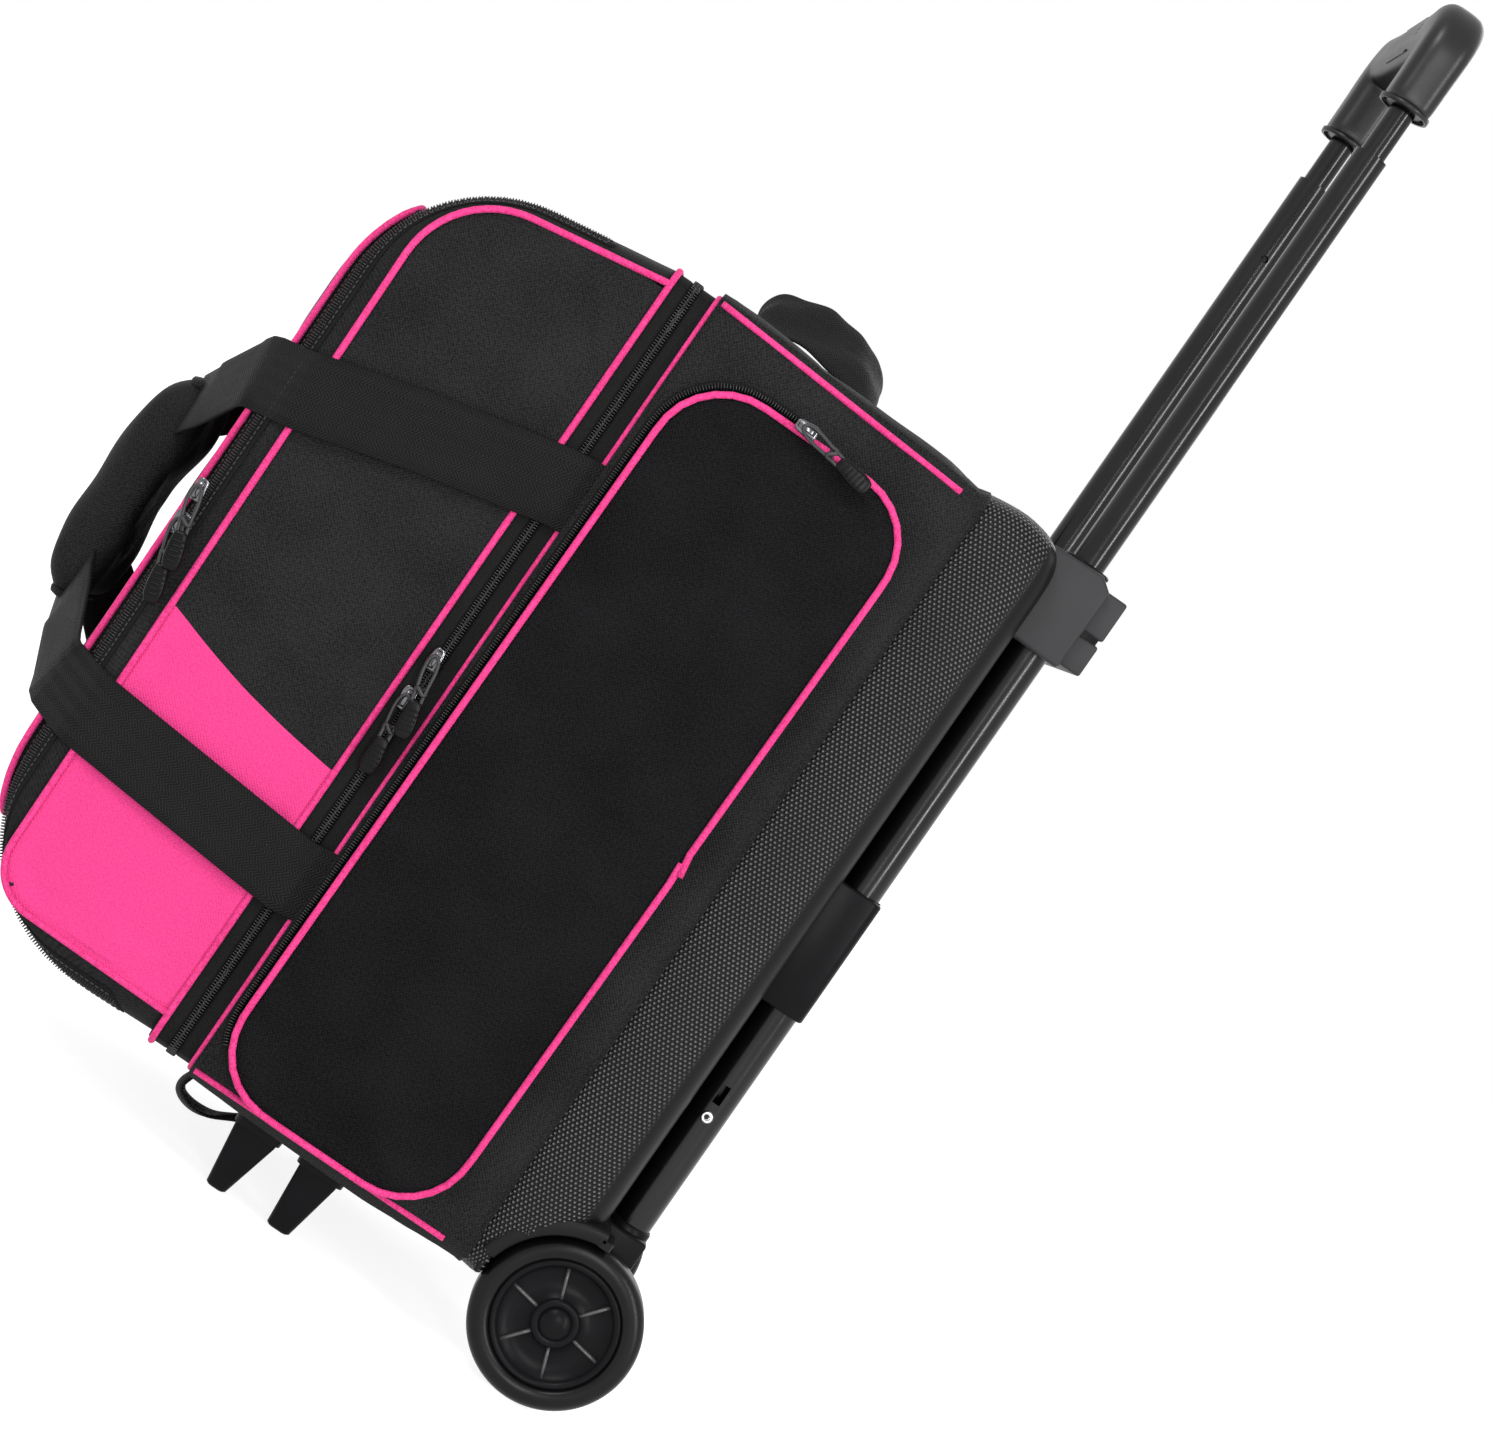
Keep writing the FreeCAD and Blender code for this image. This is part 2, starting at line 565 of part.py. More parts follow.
def build_stage(word, radius, bore, low, high, side_nodes):
    """Telescoping pair of tubes with its guides and lock pins."""
    guides = []
    pins = []
    wider = {"middle": "outer_bore", "inner": "middle_bore"}[word]
    for name, side in SIDES:
        pipe = tube(f"{name}_{word}_pipe", side, radius, bore, low, high)
        hole = rod(f"{name}_{word}_lock_hole", "x", f"mid + {side} * (tube_x - middle_bore) - middle_bore",
                   "tube_y", f"{high} - lock_drop", "slot_half", "2 * middle_bore")
        keep(cut(f"{name}_{word}", pipe, hole) if word == "middle" else pipe, side_nodes.format(name))
        guides.append(tube(f"{name}_{word}_guide", side, f"{wider} - running_gap", f"{bore} - 2",
                           f"{low} - guide_height", f"{low} - running_gap"))
        pins.append(rod(f"{name}_{word}_pin", "x", f"mid + {side} * tube_x - ({bore} - slot_half)", "tube_y",
                        f"{low} - guide_height / 2", 2, f"2 * ({bore} - slot_half)"))
    keep(group(f"{word}_guide_pair", *guides, *pins), f"{word}_lock_guides")


def build_grip():
    """U-shaped grip on the inner tubes, its release button and the rods that the button pulls."""
    wide = "2 * tube_x + grip_arm"
    deep = "2 * (grip_high - grip_low)"
    outer = rounded_plate("grip_outside", "XZ_Plane", wide, deep, "grip_round", "grip_thick", "mid",
                          "tube_y + grip_thick / 2", "grip_low")
    window = rounded_plate("grip_opening", "XZ_Plane", f"{wide} - 2 * grip_arm", deep, "grip_window",
                           "grip_thick + 2", "mid", "tube_y + grip_thick / 2 + 1",
                           "grip_bar_low - (grip_high - grip_low)")
    below = block("grip_below", (f"mid - ({wide})", f"mid + {wide}"),
                  ("tube_y - grip_thick", "tube_y + grip_thick"), ("grip_low - grip_high", "grip_low"))
    well = block("button_well", ("mid - button_long / 2 - slip", "mid + button_long / 2 + slip"),
                 ("tube_y - button_wide / 2 - slip", "tube_y + button_wide / 2 + slip"),
                 ("grip_high - button_travel - 6", "grip_high + 1"))
    sockets = tube_holes("grip_sockets", "inner_radius + running_gap", "grip_low - 1", "inner_high + 1")
    keep(cut("grip_bow", outer, join("grip_cuts", window, below, well, sockets)), "grip")
    keep(rounded_plate("button_cap", "XY_Plane", "button_long", "button_wide", "button_round",
                       "2 * button_travel", "mid", "tube_y", "grip_high - button_travel - 1.5"),
         "release_button")
    keep(group("rods", *[tube(f"{name}_rod", side, "inner_bore - 3", None, "inner_low + 10", "inner_high - 20")
                         for name, side in SIDES]), "release_rods")


# ---------------------------------------------------------------- wheels and feet

def build_wheel(name, side):
    """Rim with ring, web, hub and six spokes on the axle, and the tyre round it."""
    start = "mid + wheel_face - wheel_width" if side > 0 else "mid - wheel_face"
    body, ring = new_body(f"{name}_rim_body", "YZ_Plane")
    draw_circle(ring, "outside", "tyre_inside - running_gap")
    draw_circle(ring, "inside", "rim_inside")
    pad(body, ring, "wheel_width - 2 * rim_recess", "ring")
    hub = new_sketch(body, "YZ_Plane", f"{name}_hub_outline")
    draw_circle(hub, "hub", "hub_radius")
    draw_circle(hub, "bore", "axle_radius + running_gap")
    pad(body, hub, "wheel_width - rim_recess", "hub")
    spoke = new_sketch(body, "YZ_Plane", f"{name}_spoke_outline")
    reach = (size("hub_radius") + size("rim_inside")) / 2
    length = size("rim_inside") - size("hub_radius") + 3
    half = size("spoke_width") / 2
    corners = [(reach - length / 2, -half), (reach + length / 2, -half), (reach + length / 2, half),
               (reach - length / 2, half)]
    for i, corner in enumerate(corners):
        following = corners[(i + 1) % 4]
        spoke.addGeometry(Part.LineSegment(FreeCAD.Vector(*corner, 0), FreeCAD.Vector(*following, 0)), False)
    for i in range(4):
        spoke.addConstraint(Sketcher.Constraint("Coincident", i, 2, (i + 1) % 4, 1))
    first = pad(body, spoke, "wheel_width - 4 * rim_recess", "spoke")
    doc.recompute()
    spokes = body.newObject("PartDesign::PolarPattern", f"{name}_spokes")
    spokes.Originals = [first]
    spokes.Axis = (next(f for f in body.Origin.OriginFeatures if f.Role == "X_Axis"), [""])
    spokes.Angle = 360
    spokes.Occurrences = 6
    body.Tip = spokes
    bind(body, x=f"{start} + rim_recess", y="axle_y", z="axle_z")
    keep(body, f"{name}_rim")
    tyre_body, outline = new_body(f"{name}_tyre_body", "YZ_Plane")
    draw_circle(outline, "outside", "wheel_radius")
    draw_circle(outline, "inside", "tyre_inside")
    solid = pad(tyre_body, outline, "wheel_width")
    doc.recompute()
    rims = [f"Edge{i}" for i, e in enumerate(solid.Shape.Edges, start=1)
            if abs(getattr(e.Curve, "Radius", 0) - size("wheel_radius")) < 1e-6 and len(e.Vertexes) == 1]
    round_off = tyre_body.newObject("PartDesign::Fillet", f"{name}_tyre_round")
    round_off.Base = (solid, rims)
    bind(round_off, Radius="tyre_round")
    tyre_body.Tip = round_off
    bind(tyre_body, x=start, y="axle_y", z="axle_z")
    keep(tyre_body, f"{name}_tyre")


def build_running_gear():
    """Wheel brackets that hold the tubes' lower ends, the axle, its caps, and the stand feet."""
    for name, side in SIDES:
        build_wheel(name, side)
        inner = "mid + fork_inner" if side > 0 else "mid - fork_inner - fork_width"
        carrier = block(f"{name}_carrier", (inner, f"{inner} + fork_width"), ("tray_back + slip", "clamp_back"),
                        ("fork_low", "fork_high"))
        socket = rod(f"{name}_foot_socket", "z", f"mid + {side} * tube_x", "tube_y", "outer_low - slip",
                     "outer_radius + running_gap", "fork_high")
        bore = rod(f"{name}_axle_hole", "x", f"{inner} - 1", "axle_y", "axle_z", "axle_radius + running_gap",
                   "fork_width + 2")
        keep(cut(f"{name}_fork", carrier, join(f"{name}_fork_cuts", socket, bore)), f"{name}_wheel_bracket")
    keep(rod("axle_rod", "x", "mid - wheel_face + 1", "axle_y", "axle_z", "axle_radius", "2 * wheel_face - 2"),
         "axle")
    feet = []
    for name, side in SIDES:
        for place in ("front", "back"):
            prong = doc.addObject("Part::Cone", f"{name}_{place}_prong")
            bind(prong, Radius1="foot_tip / 2", Radius2="foot_root / 2 - 2", Height="body_low - foot_collar",
                 x=f"mid + {side} * foot_x", y=f"{place}_foot_y", z=0)
            collar = rod(f"{name}_{place}_collar", "z", f"mid + {side} * foot_x", f"{place}_foot_y",
                         "body_low - foot_collar", "foot_root / 2 + 1", "foot_collar")
            feet.append(join(f"{name}_{place}_foot", prong, collar))
    keep(group("feet", *feet), "stand_feet")


# ---------------------------------------------------------------- straps

def arch(y_from, y_to, z_root, rise, steps=10):
    """Points of a half-oval loop over an end panel."""
    middle = (y_from + y_to) / 2
    reach = (y_to - y_from) / 2
    turns = [math.pi * i / steps for i in range(steps + 1)]
    return [(middle - reach * math.cos(a), z_root + rise * math.sin(a)) for a in turns]


def build_grab_straps():
    """Webbing loops on the two ends."""
    start = size("mid") - size("grab_width") / 2
    rise = size("grab_rise")
    ends = (("top_grab", size("body_high") + 0.5, rise), ("bottom_grab", size("body_low") - 0.5, -rise))
    for label, root, height in ends:
        loop = arch(size("grab_front"), size("grab_back"), root, height)
        strap = ribbon(f"{label}_webbing", loop, size("skin"), "x", start, size("grab_width"))
        keep(strap, f"{label}_strap")


def build_carry_straps():
    """Two U-shaped webbing straps, sewn to the sides, and the padded wrap that holds them together."""
    half = size("webbing") / 2
    skin = size("skin")
    legs = (("upper", size("upper_leg_z")), ("lower", size("lower_leg_z")))
    near = size("mid") + size("half_width") + size("piping") + 1.5
    far = size("mid") - size("half_width") - 1.2
    turn_x = size("strap_turn")
    wrap_side = size("wrap_half") + 0.6
    turn_y = size("lid_front") - size("flap_thick") - 2.2
    hand_y = (size("wrap_front") + size("wrap_back")) / 2
    routes = {
        "near_strap_ends": [(near, size("mouth_y") + 2), (near, size("split_y"))],
        "near_strap": [(near, size("split_y") - 0.5), (near, turn_y + 6), (near - 6, turn_y - 2),
                       (size("mid") + turn_x, hand_y + 6), (size("mid") + wrap_side, hand_y)],
        "far_strap_lower": [(far, size("lid_y") - 2), (far, size("lid_front") + 6)],
        "far_strap_upper": [(far + 6, turn_y), (size("mid") - turn_x, hand_y + 6),
                            (size("mid") - wrap_side, hand_y)],
    }
    for node, route in routes.items():
        pieces = [ribbon(f"{node}_{name}", route, skin, "z", z - half, 2 * half) for name, z in legs]
        keep(group(f"{node}_pair", *pieces), node)
    keep(rounded_plate("wrap_pad", "XZ_Plane", "2 * wrap_half", "wrap_high - wrap_low", "wrap_round",
                       "wrap_back - wrap_front", "mid", "wrap_back", "(wrap_low + wrap_high) / 2"),
         "handle_wrap")


# ---------------------------------------------------------------- zip sliders

SLIDERS = {
    # name: x of the back of the slider, y, z, layer of the pull, degrees of the pull from straight down
    "main_upper": (f"{NEAR_FACE} + skin + 0.3", "split_y - 2", 288, 1, 8),
    "main_lower": (f"{NEAR_FACE} + skin + 0.3", "split_y - 3", 264, 0, 4),
    "top_upper": (f"{NEAR_FACE} + 0.3", "lid_front + 8", 291, 1, 12),
    "top_lower": (f"{NEAR_FACE} + 0.3", "lid_front + 9", 272, 0, 12),
    "pocket": (f"{NEAR_FACE} + pocket_depth + pocket_skin + piping + 0.3", 44, 485, 0, 82),
}


def build_sliders():
    """Zip sliders with a bridge, and a cord pull with a moulded end on each."""
    for name, (x, y, z, layer, lean) in SLIDERS.items():
        plate = block(f"{name}_slider_plate", (x, f"{x} + 2.4"), (f"{y} - 4.5", f"{y} + 4.5"), (z - 6, z + 6))
        bridge = block(f"{name}_slider_bridge", (f"{x} + 2.4", f"{x} + 4"), (f"{y} - 1.2", f"{y} + 1.2"),
                       (z - 5, z + 5))
        keep(join(f"{name}_slider_body", plate, bridge), f"{name}_slider")
        cord = doc.addObject("Part::Box", f"{name}_cord")
        end = doc.addObject("Part::Box", f"{name}_end")
        turn = FreeCAD.Rotation(FreeCAD.Vector(1, 0, 0), 180 + lean)
        slope = math.radians(180 + lean)
        for piece, start, width, thick, length in ((cord, 6, 5, 1.6, 18), (end, 24, 10, 4, 20)):
            piece.Placement = FreeCAD.Placement(FreeCAD.Vector(), turn)
            bind(piece, Length=thick, Width=width, Height=length)
            offset_y = -width / 2 * math.cos(slope) - start * math.sin(slope)
            offset_z = -width / 2 * math.sin(slope) + start * math.cos(slope)
            bind(piece, x=f"{x} + 4.2 + {layer} * 4.3", y=f"{y} + {offset_y:.3f}", z=f"{z} + {offset_z:.3f}")
        keep(join(f"{name}_pull_body", cord, end), f"{name}_pull")


build_tray()
build_inside()
build_walls()
build_pocket()
build_main_zip()
build_lid()
build_flap()
build_outer_tubes()
build_tube_mounts()
build_stage("middle", "middle_radius", "middle_bore", "middle_low", "middle_high", "{}_middle_tube")
build_stage("inner", "inner_radius", "inner_bore", "inner_low", "inner_high", "{}_inner_tube")
build_grip()
build_running_gear()
build_grab_straps()
build_carry_straps()
build_sliders()
doc.removeObject(probe.Name)
doc.recompute()

for thing in doc.Objects:
    if "Invalid" in thing.State or "Error" in thing.State:
        raise RuntimeError(f"{thing.Name} ({thing.Label}) is {thing.State}")
for part in parts:
    if part.Shape.isNull() or not part.Shape.isValid():
        raise RuntimeError(f"{part.Label} has no valid shape")

os.makedirs("parts", exist_ok=True)
whole = FreeCAD.BoundBox()
for part in parts:
    part.Shape.exportStep(f"parts/{part.Label}.step")
    whole.add(part.Shape.BoundBox)
print(f"{len(parts)} nodes, box {whole}")
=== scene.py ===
"""Looks of the rolling two-ball bowling bag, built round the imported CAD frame.

Lengths are in millimetres in the row frame until add_mesh turns them into metres. The bag stands on
the floor; +X is the near side with the pocket, -Y the front where the lid opens, +Z up the handle.
Places come from the CAD nodes' boxes.
"""
import math

import bpy
import bmesh
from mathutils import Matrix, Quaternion, Vector, noise
from mathutils.kdtree import KDTree


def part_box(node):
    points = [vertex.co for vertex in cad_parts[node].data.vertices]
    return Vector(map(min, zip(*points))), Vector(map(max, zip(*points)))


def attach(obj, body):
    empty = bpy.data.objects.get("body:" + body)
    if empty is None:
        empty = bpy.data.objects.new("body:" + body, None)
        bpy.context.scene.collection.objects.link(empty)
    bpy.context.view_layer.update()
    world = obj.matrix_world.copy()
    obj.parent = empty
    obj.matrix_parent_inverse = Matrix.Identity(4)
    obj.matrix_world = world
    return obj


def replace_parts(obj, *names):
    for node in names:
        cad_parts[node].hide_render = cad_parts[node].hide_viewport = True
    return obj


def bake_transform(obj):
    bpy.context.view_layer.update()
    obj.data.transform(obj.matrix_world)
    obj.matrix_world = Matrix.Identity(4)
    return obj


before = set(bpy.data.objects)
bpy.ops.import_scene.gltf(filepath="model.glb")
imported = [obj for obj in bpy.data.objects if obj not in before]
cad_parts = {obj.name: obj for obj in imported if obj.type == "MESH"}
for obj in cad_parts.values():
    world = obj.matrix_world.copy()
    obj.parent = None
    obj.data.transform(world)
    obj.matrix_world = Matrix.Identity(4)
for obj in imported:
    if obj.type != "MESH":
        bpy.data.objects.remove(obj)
for leftover in ("Cube", "Light", "Camera"):
    if leftover in bpy.data.objects:
        bpy.data.objects.remove(bpy.data.objects[leftover])
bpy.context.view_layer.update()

MM = 0.001
WEAVE_UV = "weave"


def corners(node):
    """Lowest and highest corner of a CAD node, in millimetres."""
    low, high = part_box(node)
    return Vector(low) / MM, Vector(high) / MM


FAR_X = corners("far_side_panel")[0].x
NEAR_X = corners("near_side_panel")[1].x
MID_X = (FAR_X + NEAR_X) / 2
HALF = NEAR_X - MID_X
MOUTH_Y, BODY_LOW = corners("near_side_panel")[0].yz
TRAY_FRONT, BODY_HIGH = corners("near_side_panel")[1].yz
TRAY_BACK = corners("base_tray")[1].y
LID_FRONT, LID_LOW = corners("lid_near_side")[0].yz
LID_BACK, LID_HIGH = corners("lid_near_side")[1].yz
SPLIT_Y = (corners("lid_zip_tape")[1].y + corners("body_zip_tape")[0].y) / 2
FLAP_LOW, FLAP_HIGH = corners("flap_panel")
FLAP_X = HALF - 13
TUBE_Y = (corners("near_outer_tube")[0].y + corners("near_outer_tube")[1].y) / 2
TUBE_X = (corners("near_outer_tube")[0].x + corners("near_outer_tube")[1].x) / 2 - MID_X
WHEEL_RADIUS = (corners("near_tyre")[1].z - corners("near_tyre")[0].z) / 2
AXLE_Z = corners("near_tyre")[0].z + WHEEL_RADIUS
AXLE_Y = corners("near_tyre")[0].y + WHEEL_RADIUS + 0.05
PIPING_RADIUS = 1.8
# Curved seam of the lid's side: height at its front end, then fall and curve over its run along Y.
SEAM_Y = (-194, -45)
SEAM_FRONT = 248.9
SEAM_FALL = 62.05
SEAM_CURVE = -25.67
COIL_PITCH = 1.5
TOOTH_WIDTH = 0.95
STITCH_LIFT = 0.25


# ---------------------------------------------------------------- camera, light and floor

def add_camera():
    """Camera of the photograph: level with the bag's middle, rolled so that the bag leans."""
    place = Vector((1819.1, 7.9, 405.2)) * MM
    target = Vector((100.7, 102.65, 349.3)) * MM
    roll = 0.6057
    data = bpy.data.cameras.new("camera")
    data.lens = 83.2
    data.sensor_width = 36
    camera = bpy.data.objects.new("camera", data)
    bpy.context.collection.objects.link(camera)
    camera.location = place
    aim = (target - place).to_track_quat("-Z", "Y")
    camera.rotation_mode = "QUATERNION"
    camera.rotation_quaternion = aim @ Quaternion((0, 0, 1), roll)
    bpy.context.scene.camera = camera


def add_softbox(name, place, size, watts):
    """Rectangular studio light aimed at the bag's middle."""
    data = bpy.data.lights.new(name, "AREA")
    data.shape = "RECTANGLE"
    data.size, data.size_y = size
    data.energy = watts
    lamp = bpy.data.objects.new(name, data)
    bpy.context.collection.objects.link(lamp)
    lamp.location = place
    aim = Vector((0, 0, 0.35)) - lamp.location
    lamp.rotation_euler = aim.to_track_quat("-Z", "Y").to_euler()


def add_studio():
    """White surround, white floor and soft lights."""
    world = bpy.data.worlds.new("studio")
    world.use_nodes = True
    sky = world.node_tree.nodes["Background"]
    sky.inputs["Color"].default_value = (1, 1, 1, 1)
    sky.inputs["Strength"].default_value = 1.0
    bpy.context.scene.world = world
    bpy.context.scene.view_settings.view_transform = "Standard"
    add_softbox("front", (2.5, 0.3, 1.1), (0.4, 0.6), 12)
    add_softbox("key", (1.4, -1.0, 1.8), (0.6, 0.6), 22)
    add_softbox("side", (1.2, 1.3, 0.8), (0.16, 1.3), 16)
    add_softbox("strip", (1.9, 0.45, 0.45), (0.08, 0.4), 6)
    add_softbox("back", (-1.6, 0.9, 1.4), (1.2, 1.2), 9)
    reach = 30
    mesh = bpy.data.meshes.new("floor")
    mesh.from_pydata([(-reach, -reach, 0), (reach, -reach, 0), (reach, reach, 0), (-reach, reach, 0)], [],
                     [(0, 1, 2, 3)])
    floor = bpy.data.objects.new("floor", mesh)
    bpy.context.collection.objects.link(floor)
    mesh.materials.append(floor_material())


# ---------------------------------------------------------------- material nodes

class Recipe:
    """Node tree of one material, with short calls for the nodes that it needs."""

    def __init__(self, name, material=None):
        self.material = material or bpy.data.materials.new(name)
        self.material.use_nodes = True
        self.tree = self.material.node_tree
        self.shader = self.tree.nodes["Principled BSDF"]

    def node(self, kind, inputs=(), **properties):
        made = self.tree.nodes.new("ShaderNode" + kind)
        for key, value in properties.items():
            setattr(made, key, value)
        for key, value in dict(inputs).items():
            if isinstance(value, bpy.types.NodeSocket):
                self.tree.links.new(value, made.inputs[key])
            else:
                made.inputs[key].default_value = value
        return made

    def math(self, operation, first, second=0.0):
        return self.node("Math", {0: first, 1: second}, operation=operation).outputs[0]

    def millimetres(self, on_cloth):
        """Coordinates in millimetres: along a woven panel's own grid, or in the object."""
        if on_cloth:
            return self.node("UVMap", uv_map=WEAVE_UV).outputs["UV"]
        place = self.node("TexCoord").outputs["Object"]
        return self.node("VectorMath", {0: place, "Scale": 1 / MM}, operation="SCALE").outputs[0]

    def split(self, vector):
        parts = self.node("SeparateXYZ", {0: vector})
        return parts.outputs[0], parts.outputs[1], parts.outputs[2]

    def wave(self, coordinate, pitch):
        """Sine of one coordinate, from -1 to 1."""
        return self.math("SINE", self.math("MULTIPLY", coordinate, 2 * math.pi / pitch))

    def noise(self, vector, size, detail=3.0):
        return self.node("TexNoise", {"Vector": vector, "Scale": 1 / size, "Detail": detail}).outputs[0]

    def spread(self, value, low, high):
        """Map 0..1 to low..high."""
        return self.node("MapRange", {"Value": value, "To Min": low, "To Max": high}).outputs[0]

    def bump(self, height, strength, distance):
        made = self.node("Bump", {"Height": height, "Strength": strength, "Distance": distance * MM})
        self.tree.links.new(made.outputs[0], self.shader.inputs["Normal"])

    def colour(self, dark, light, factor):
        mix = self.node("Mix", {0: factor, 6: (*dark, 1), 7: (*light, 1)}, data_type="RGBA")
        self.tree.links.new(mix.outputs[2], self.shader.inputs["Base Color"])

    def finish(self, **values):
        for key, value in values.items():
            socket = self.shader.inputs[key.replace("_", " ")]
            if isinstance(value, bpy.types.NodeSocket):
                self.tree.links.new(value, socket)
            else:
                socket.default_value = value
        return self.material


def floor_material():
    """Matt white paper."""
    recipe = Recipe("floor_paper")
    place = recipe.node("TexCoord").outputs["Object"]
    recipe.colour((0.30, 0.30, 0.30), (0.33, 0.33, 0.33), recipe.noise(place, 0.3))
    return recipe.finish(Roughness=0.9, Emission_Color=(1, 1, 1, 1), Emission_Strength=0.86)


def woven(name, dark, light, pitch=0.95, depth=0.16, on_cloth=True, sheen=0.008, gloss=0.11):
    """Plain weave of thick yarns: two crossed waves, lighter in random patches; the yarns' raised crowns are
    painted lighter as a painted highlight.
    """
    recipe = Recipe(name)
    place = recipe.millimetres(on_cloth)
    u, v, w = recipe.split(place)
    if on_cloth:
        grid = recipe.math("MULTIPLY", recipe.wave(u, 2 * pitch), recipe.wave(v, 2 * pitch))
    else:
        around = recipe.math("ADD", u, v)
        grid = recipe.math("MULTIPLY", recipe.wave(around, 2 * pitch), recipe.wave(w, 2 * pitch))
    fuzz = recipe.noise(place, 1.3, 4.0)
    height = recipe.math("ADD", grid, recipe.math("MULTIPLY", fuzz, 1.6))
    recipe.bump(height, 0.8, depth)
    patches = recipe.noise(place, 45.0, 4.0)
    # Painted highlight: the colour follows the weave's bump, so the yarns' raised crowns are lighter.
    painted_yarn_highlight = recipe.math("MULTIPLY", grid, 0.3)
    speck = recipe.math("MULTIPLY", recipe.math("SUBTRACT", fuzz, 0.5), 2.4)
    shade = recipe.math("ADD", recipe.math("ADD", recipe.spread(patches, 0.0, 0.9), painted_yarn_highlight), speck)
    recipe.colour(dark, light, shade)
    return recipe.finish(Roughness=recipe.spread(fuzz, 0.52, 0.80), Sheen_Weight=sheen,
                         Sheen_Roughness=0.4, Specular_IOR_Level=gloss)


def two_tone(name, black, pink):
    """Weave of a lid side: black above a curved seam, pink below it, from the panel's own (y, z) grid."""
    made = woven(name, *black)
    recipe = Recipe(name, made)
    y, z, _ = recipe.split(recipe.millimetres(True))
    share = recipe.node("MapRange", {"Value": y, "From Min": SEAM_Y[0], "From Max": SEAM_Y[1]}).outputs[0]
    fall = recipe.math("ADD", recipe.math("MULTIPLY", share, SEAM_FALL),
                       recipe.math("MULTIPLY", recipe.math("MULTIPLY", share, share), SEAM_CURVE))
    seam = recipe.math("SUBTRACT", SEAM_FRONT, fall)
    below = recipe.math("GREATER_THAN", seam, z)
    black_socket = recipe.shader.inputs["Base Color"].links[0].from_socket
    grain = recipe.noise(recipe.millimetres(True), 1.2, 2.0)
    tint = recipe.node("Mix", {0: grain, 6: (*pink[0], 1), 7: (*pink[1], 1)}, data_type="RGBA").outputs[2]
    both = recipe.node("Mix", {0: below, 6: black_socket, 7: tint}, data_type="RGBA").outputs[2]
    recipe.tree.links.new(both, recipe.shader.inputs["Base Color"])
    return made


def ribbed_webbing(name, dark, light):
    """Herringbone webbing: chevrons across the strap and ribs along it."""
    recipe = Recipe(name)
    place = recipe.millimetres(True)
    u, v, _ = recipe.split(place)
    zigzag = recipe.node("Math", {0: u, 1: 4.0}, operation="PINGPONG").outputs[0]
    chevron = recipe.wave(recipe.math("ADD", v, zigzag), 1.9)
    rib = recipe.wave(u, 1.1)
    height = recipe.math("ADD", chevron, recipe.math("MULTIPLY", rib, 0.4))
    recipe.bump(height, 0.9, 0.22)
    patches = recipe.noise(place, 25.0, 4.0)
    lit = recipe.math("MULTIPLY", chevron, 0.4)
    recipe.colour(dark, light, recipe.math("ADD", recipe.spread(patches, 0.15, 0.75), lit))
    return recipe.finish(Roughness=recipe.spread(patches, 0.5, 0.7), Sheen_Weight=0.01,
                         Specular_IOR_Level=0.12)


DOT_PITCH = 2.5
# The dots stop this far along the base's depth, and fade out over DOTS_FADE.
DOTS_END = 44
DOTS_FADE = 4


def dotted_base(name):
    """Moulded sheet with a hexagonal field of raised dots: three cosines at 60 degrees; the dot tips are painted
    lighter as painted highlights, more so in random patches.
    """
    recipe = Recipe(name)
    place = recipe.millimetres(True)
    u, v, _ = recipe.split(place)
    turns = 4 * math.pi / (math.sqrt(3) * DOT_PITCH)
    first = recipe.math("COSINE", recipe.math("MULTIPLY", u, turns))
    lean = []
    for sign in (1, -1):
        across = recipe.math("MULTIPLY", v, sign * math.sqrt(3) / 2)
        along = recipe.math("ADD", recipe.math("MULTIPLY", u, 0.5), across)
        lean.append(recipe.math("COSINE", recipe.math("MULTIPLY", along, turns)))
    dots = recipe.math("ADD", first, recipe.math("ADD", *lean))
    ends = {"Value": v, "From Min": DOTS_END, "From Max": DOTS_END - DOTS_FADE}
    dots = recipe.math("MULTIPLY", dots, recipe.node("MapRange", ends).outputs[0])
    recipe.bump(recipe.math("MULTIPLY", dots, 0.33), 1.0, 0.6)
    patches = recipe.noise(place, 60.0, 3.0)
    # Painted highlight: the raised dot tips are coloured lighter, more strongly in random patches.
    tips = recipe.math("MULTIPLY", recipe.math("SUBTRACT", dots, 0.5), recipe.spread(patches, 0.2, 0.75))
    recipe.colour((0.0005, 0.0005, 0.0006), (0.115, 0.115, 0.118), tips)
    return recipe.finish(Roughness=recipe.spread(patches, 0.30, 0.46), Specular_IOR_Level=0.17)


def moulded(name, dark, light, rough, grain=0.6, depth=0.02, specular=0.5):
    """Moulded or painted surface with fine grain, and roughness that varies in patches."""
    recipe = Recipe(name)
    place = recipe.millimetres(False)
    fine = recipe.noise(place, grain, 2.0)
    patches = recipe.noise(place, 22.0, 4.0)
    if depth:
        recipe.bump(fine, 0.4, depth)
    recipe.colour(dark, light, patches)
    return recipe.finish(Roughness=recipe.spread(patches, rough - 0.06, rough + 0.08),
                         Specular_IOR_Level=specular)


def metal(name, tone, rough):
    """Plated steel with faint scratches."""
    recipe = Recipe(name)
    place = recipe.millimetres(False)
    scratch = recipe.noise(place, 1.5, 5.0)
    recipe.bump(scratch, 0.15, 0.02)
    recipe.colour(tuple(0.75 * c for c in tone), tone, scratch)
    return recipe.finish(Metallic=1.0, Roughness=recipe.spread(scratch, rough - 0.05, rough + 0.12))


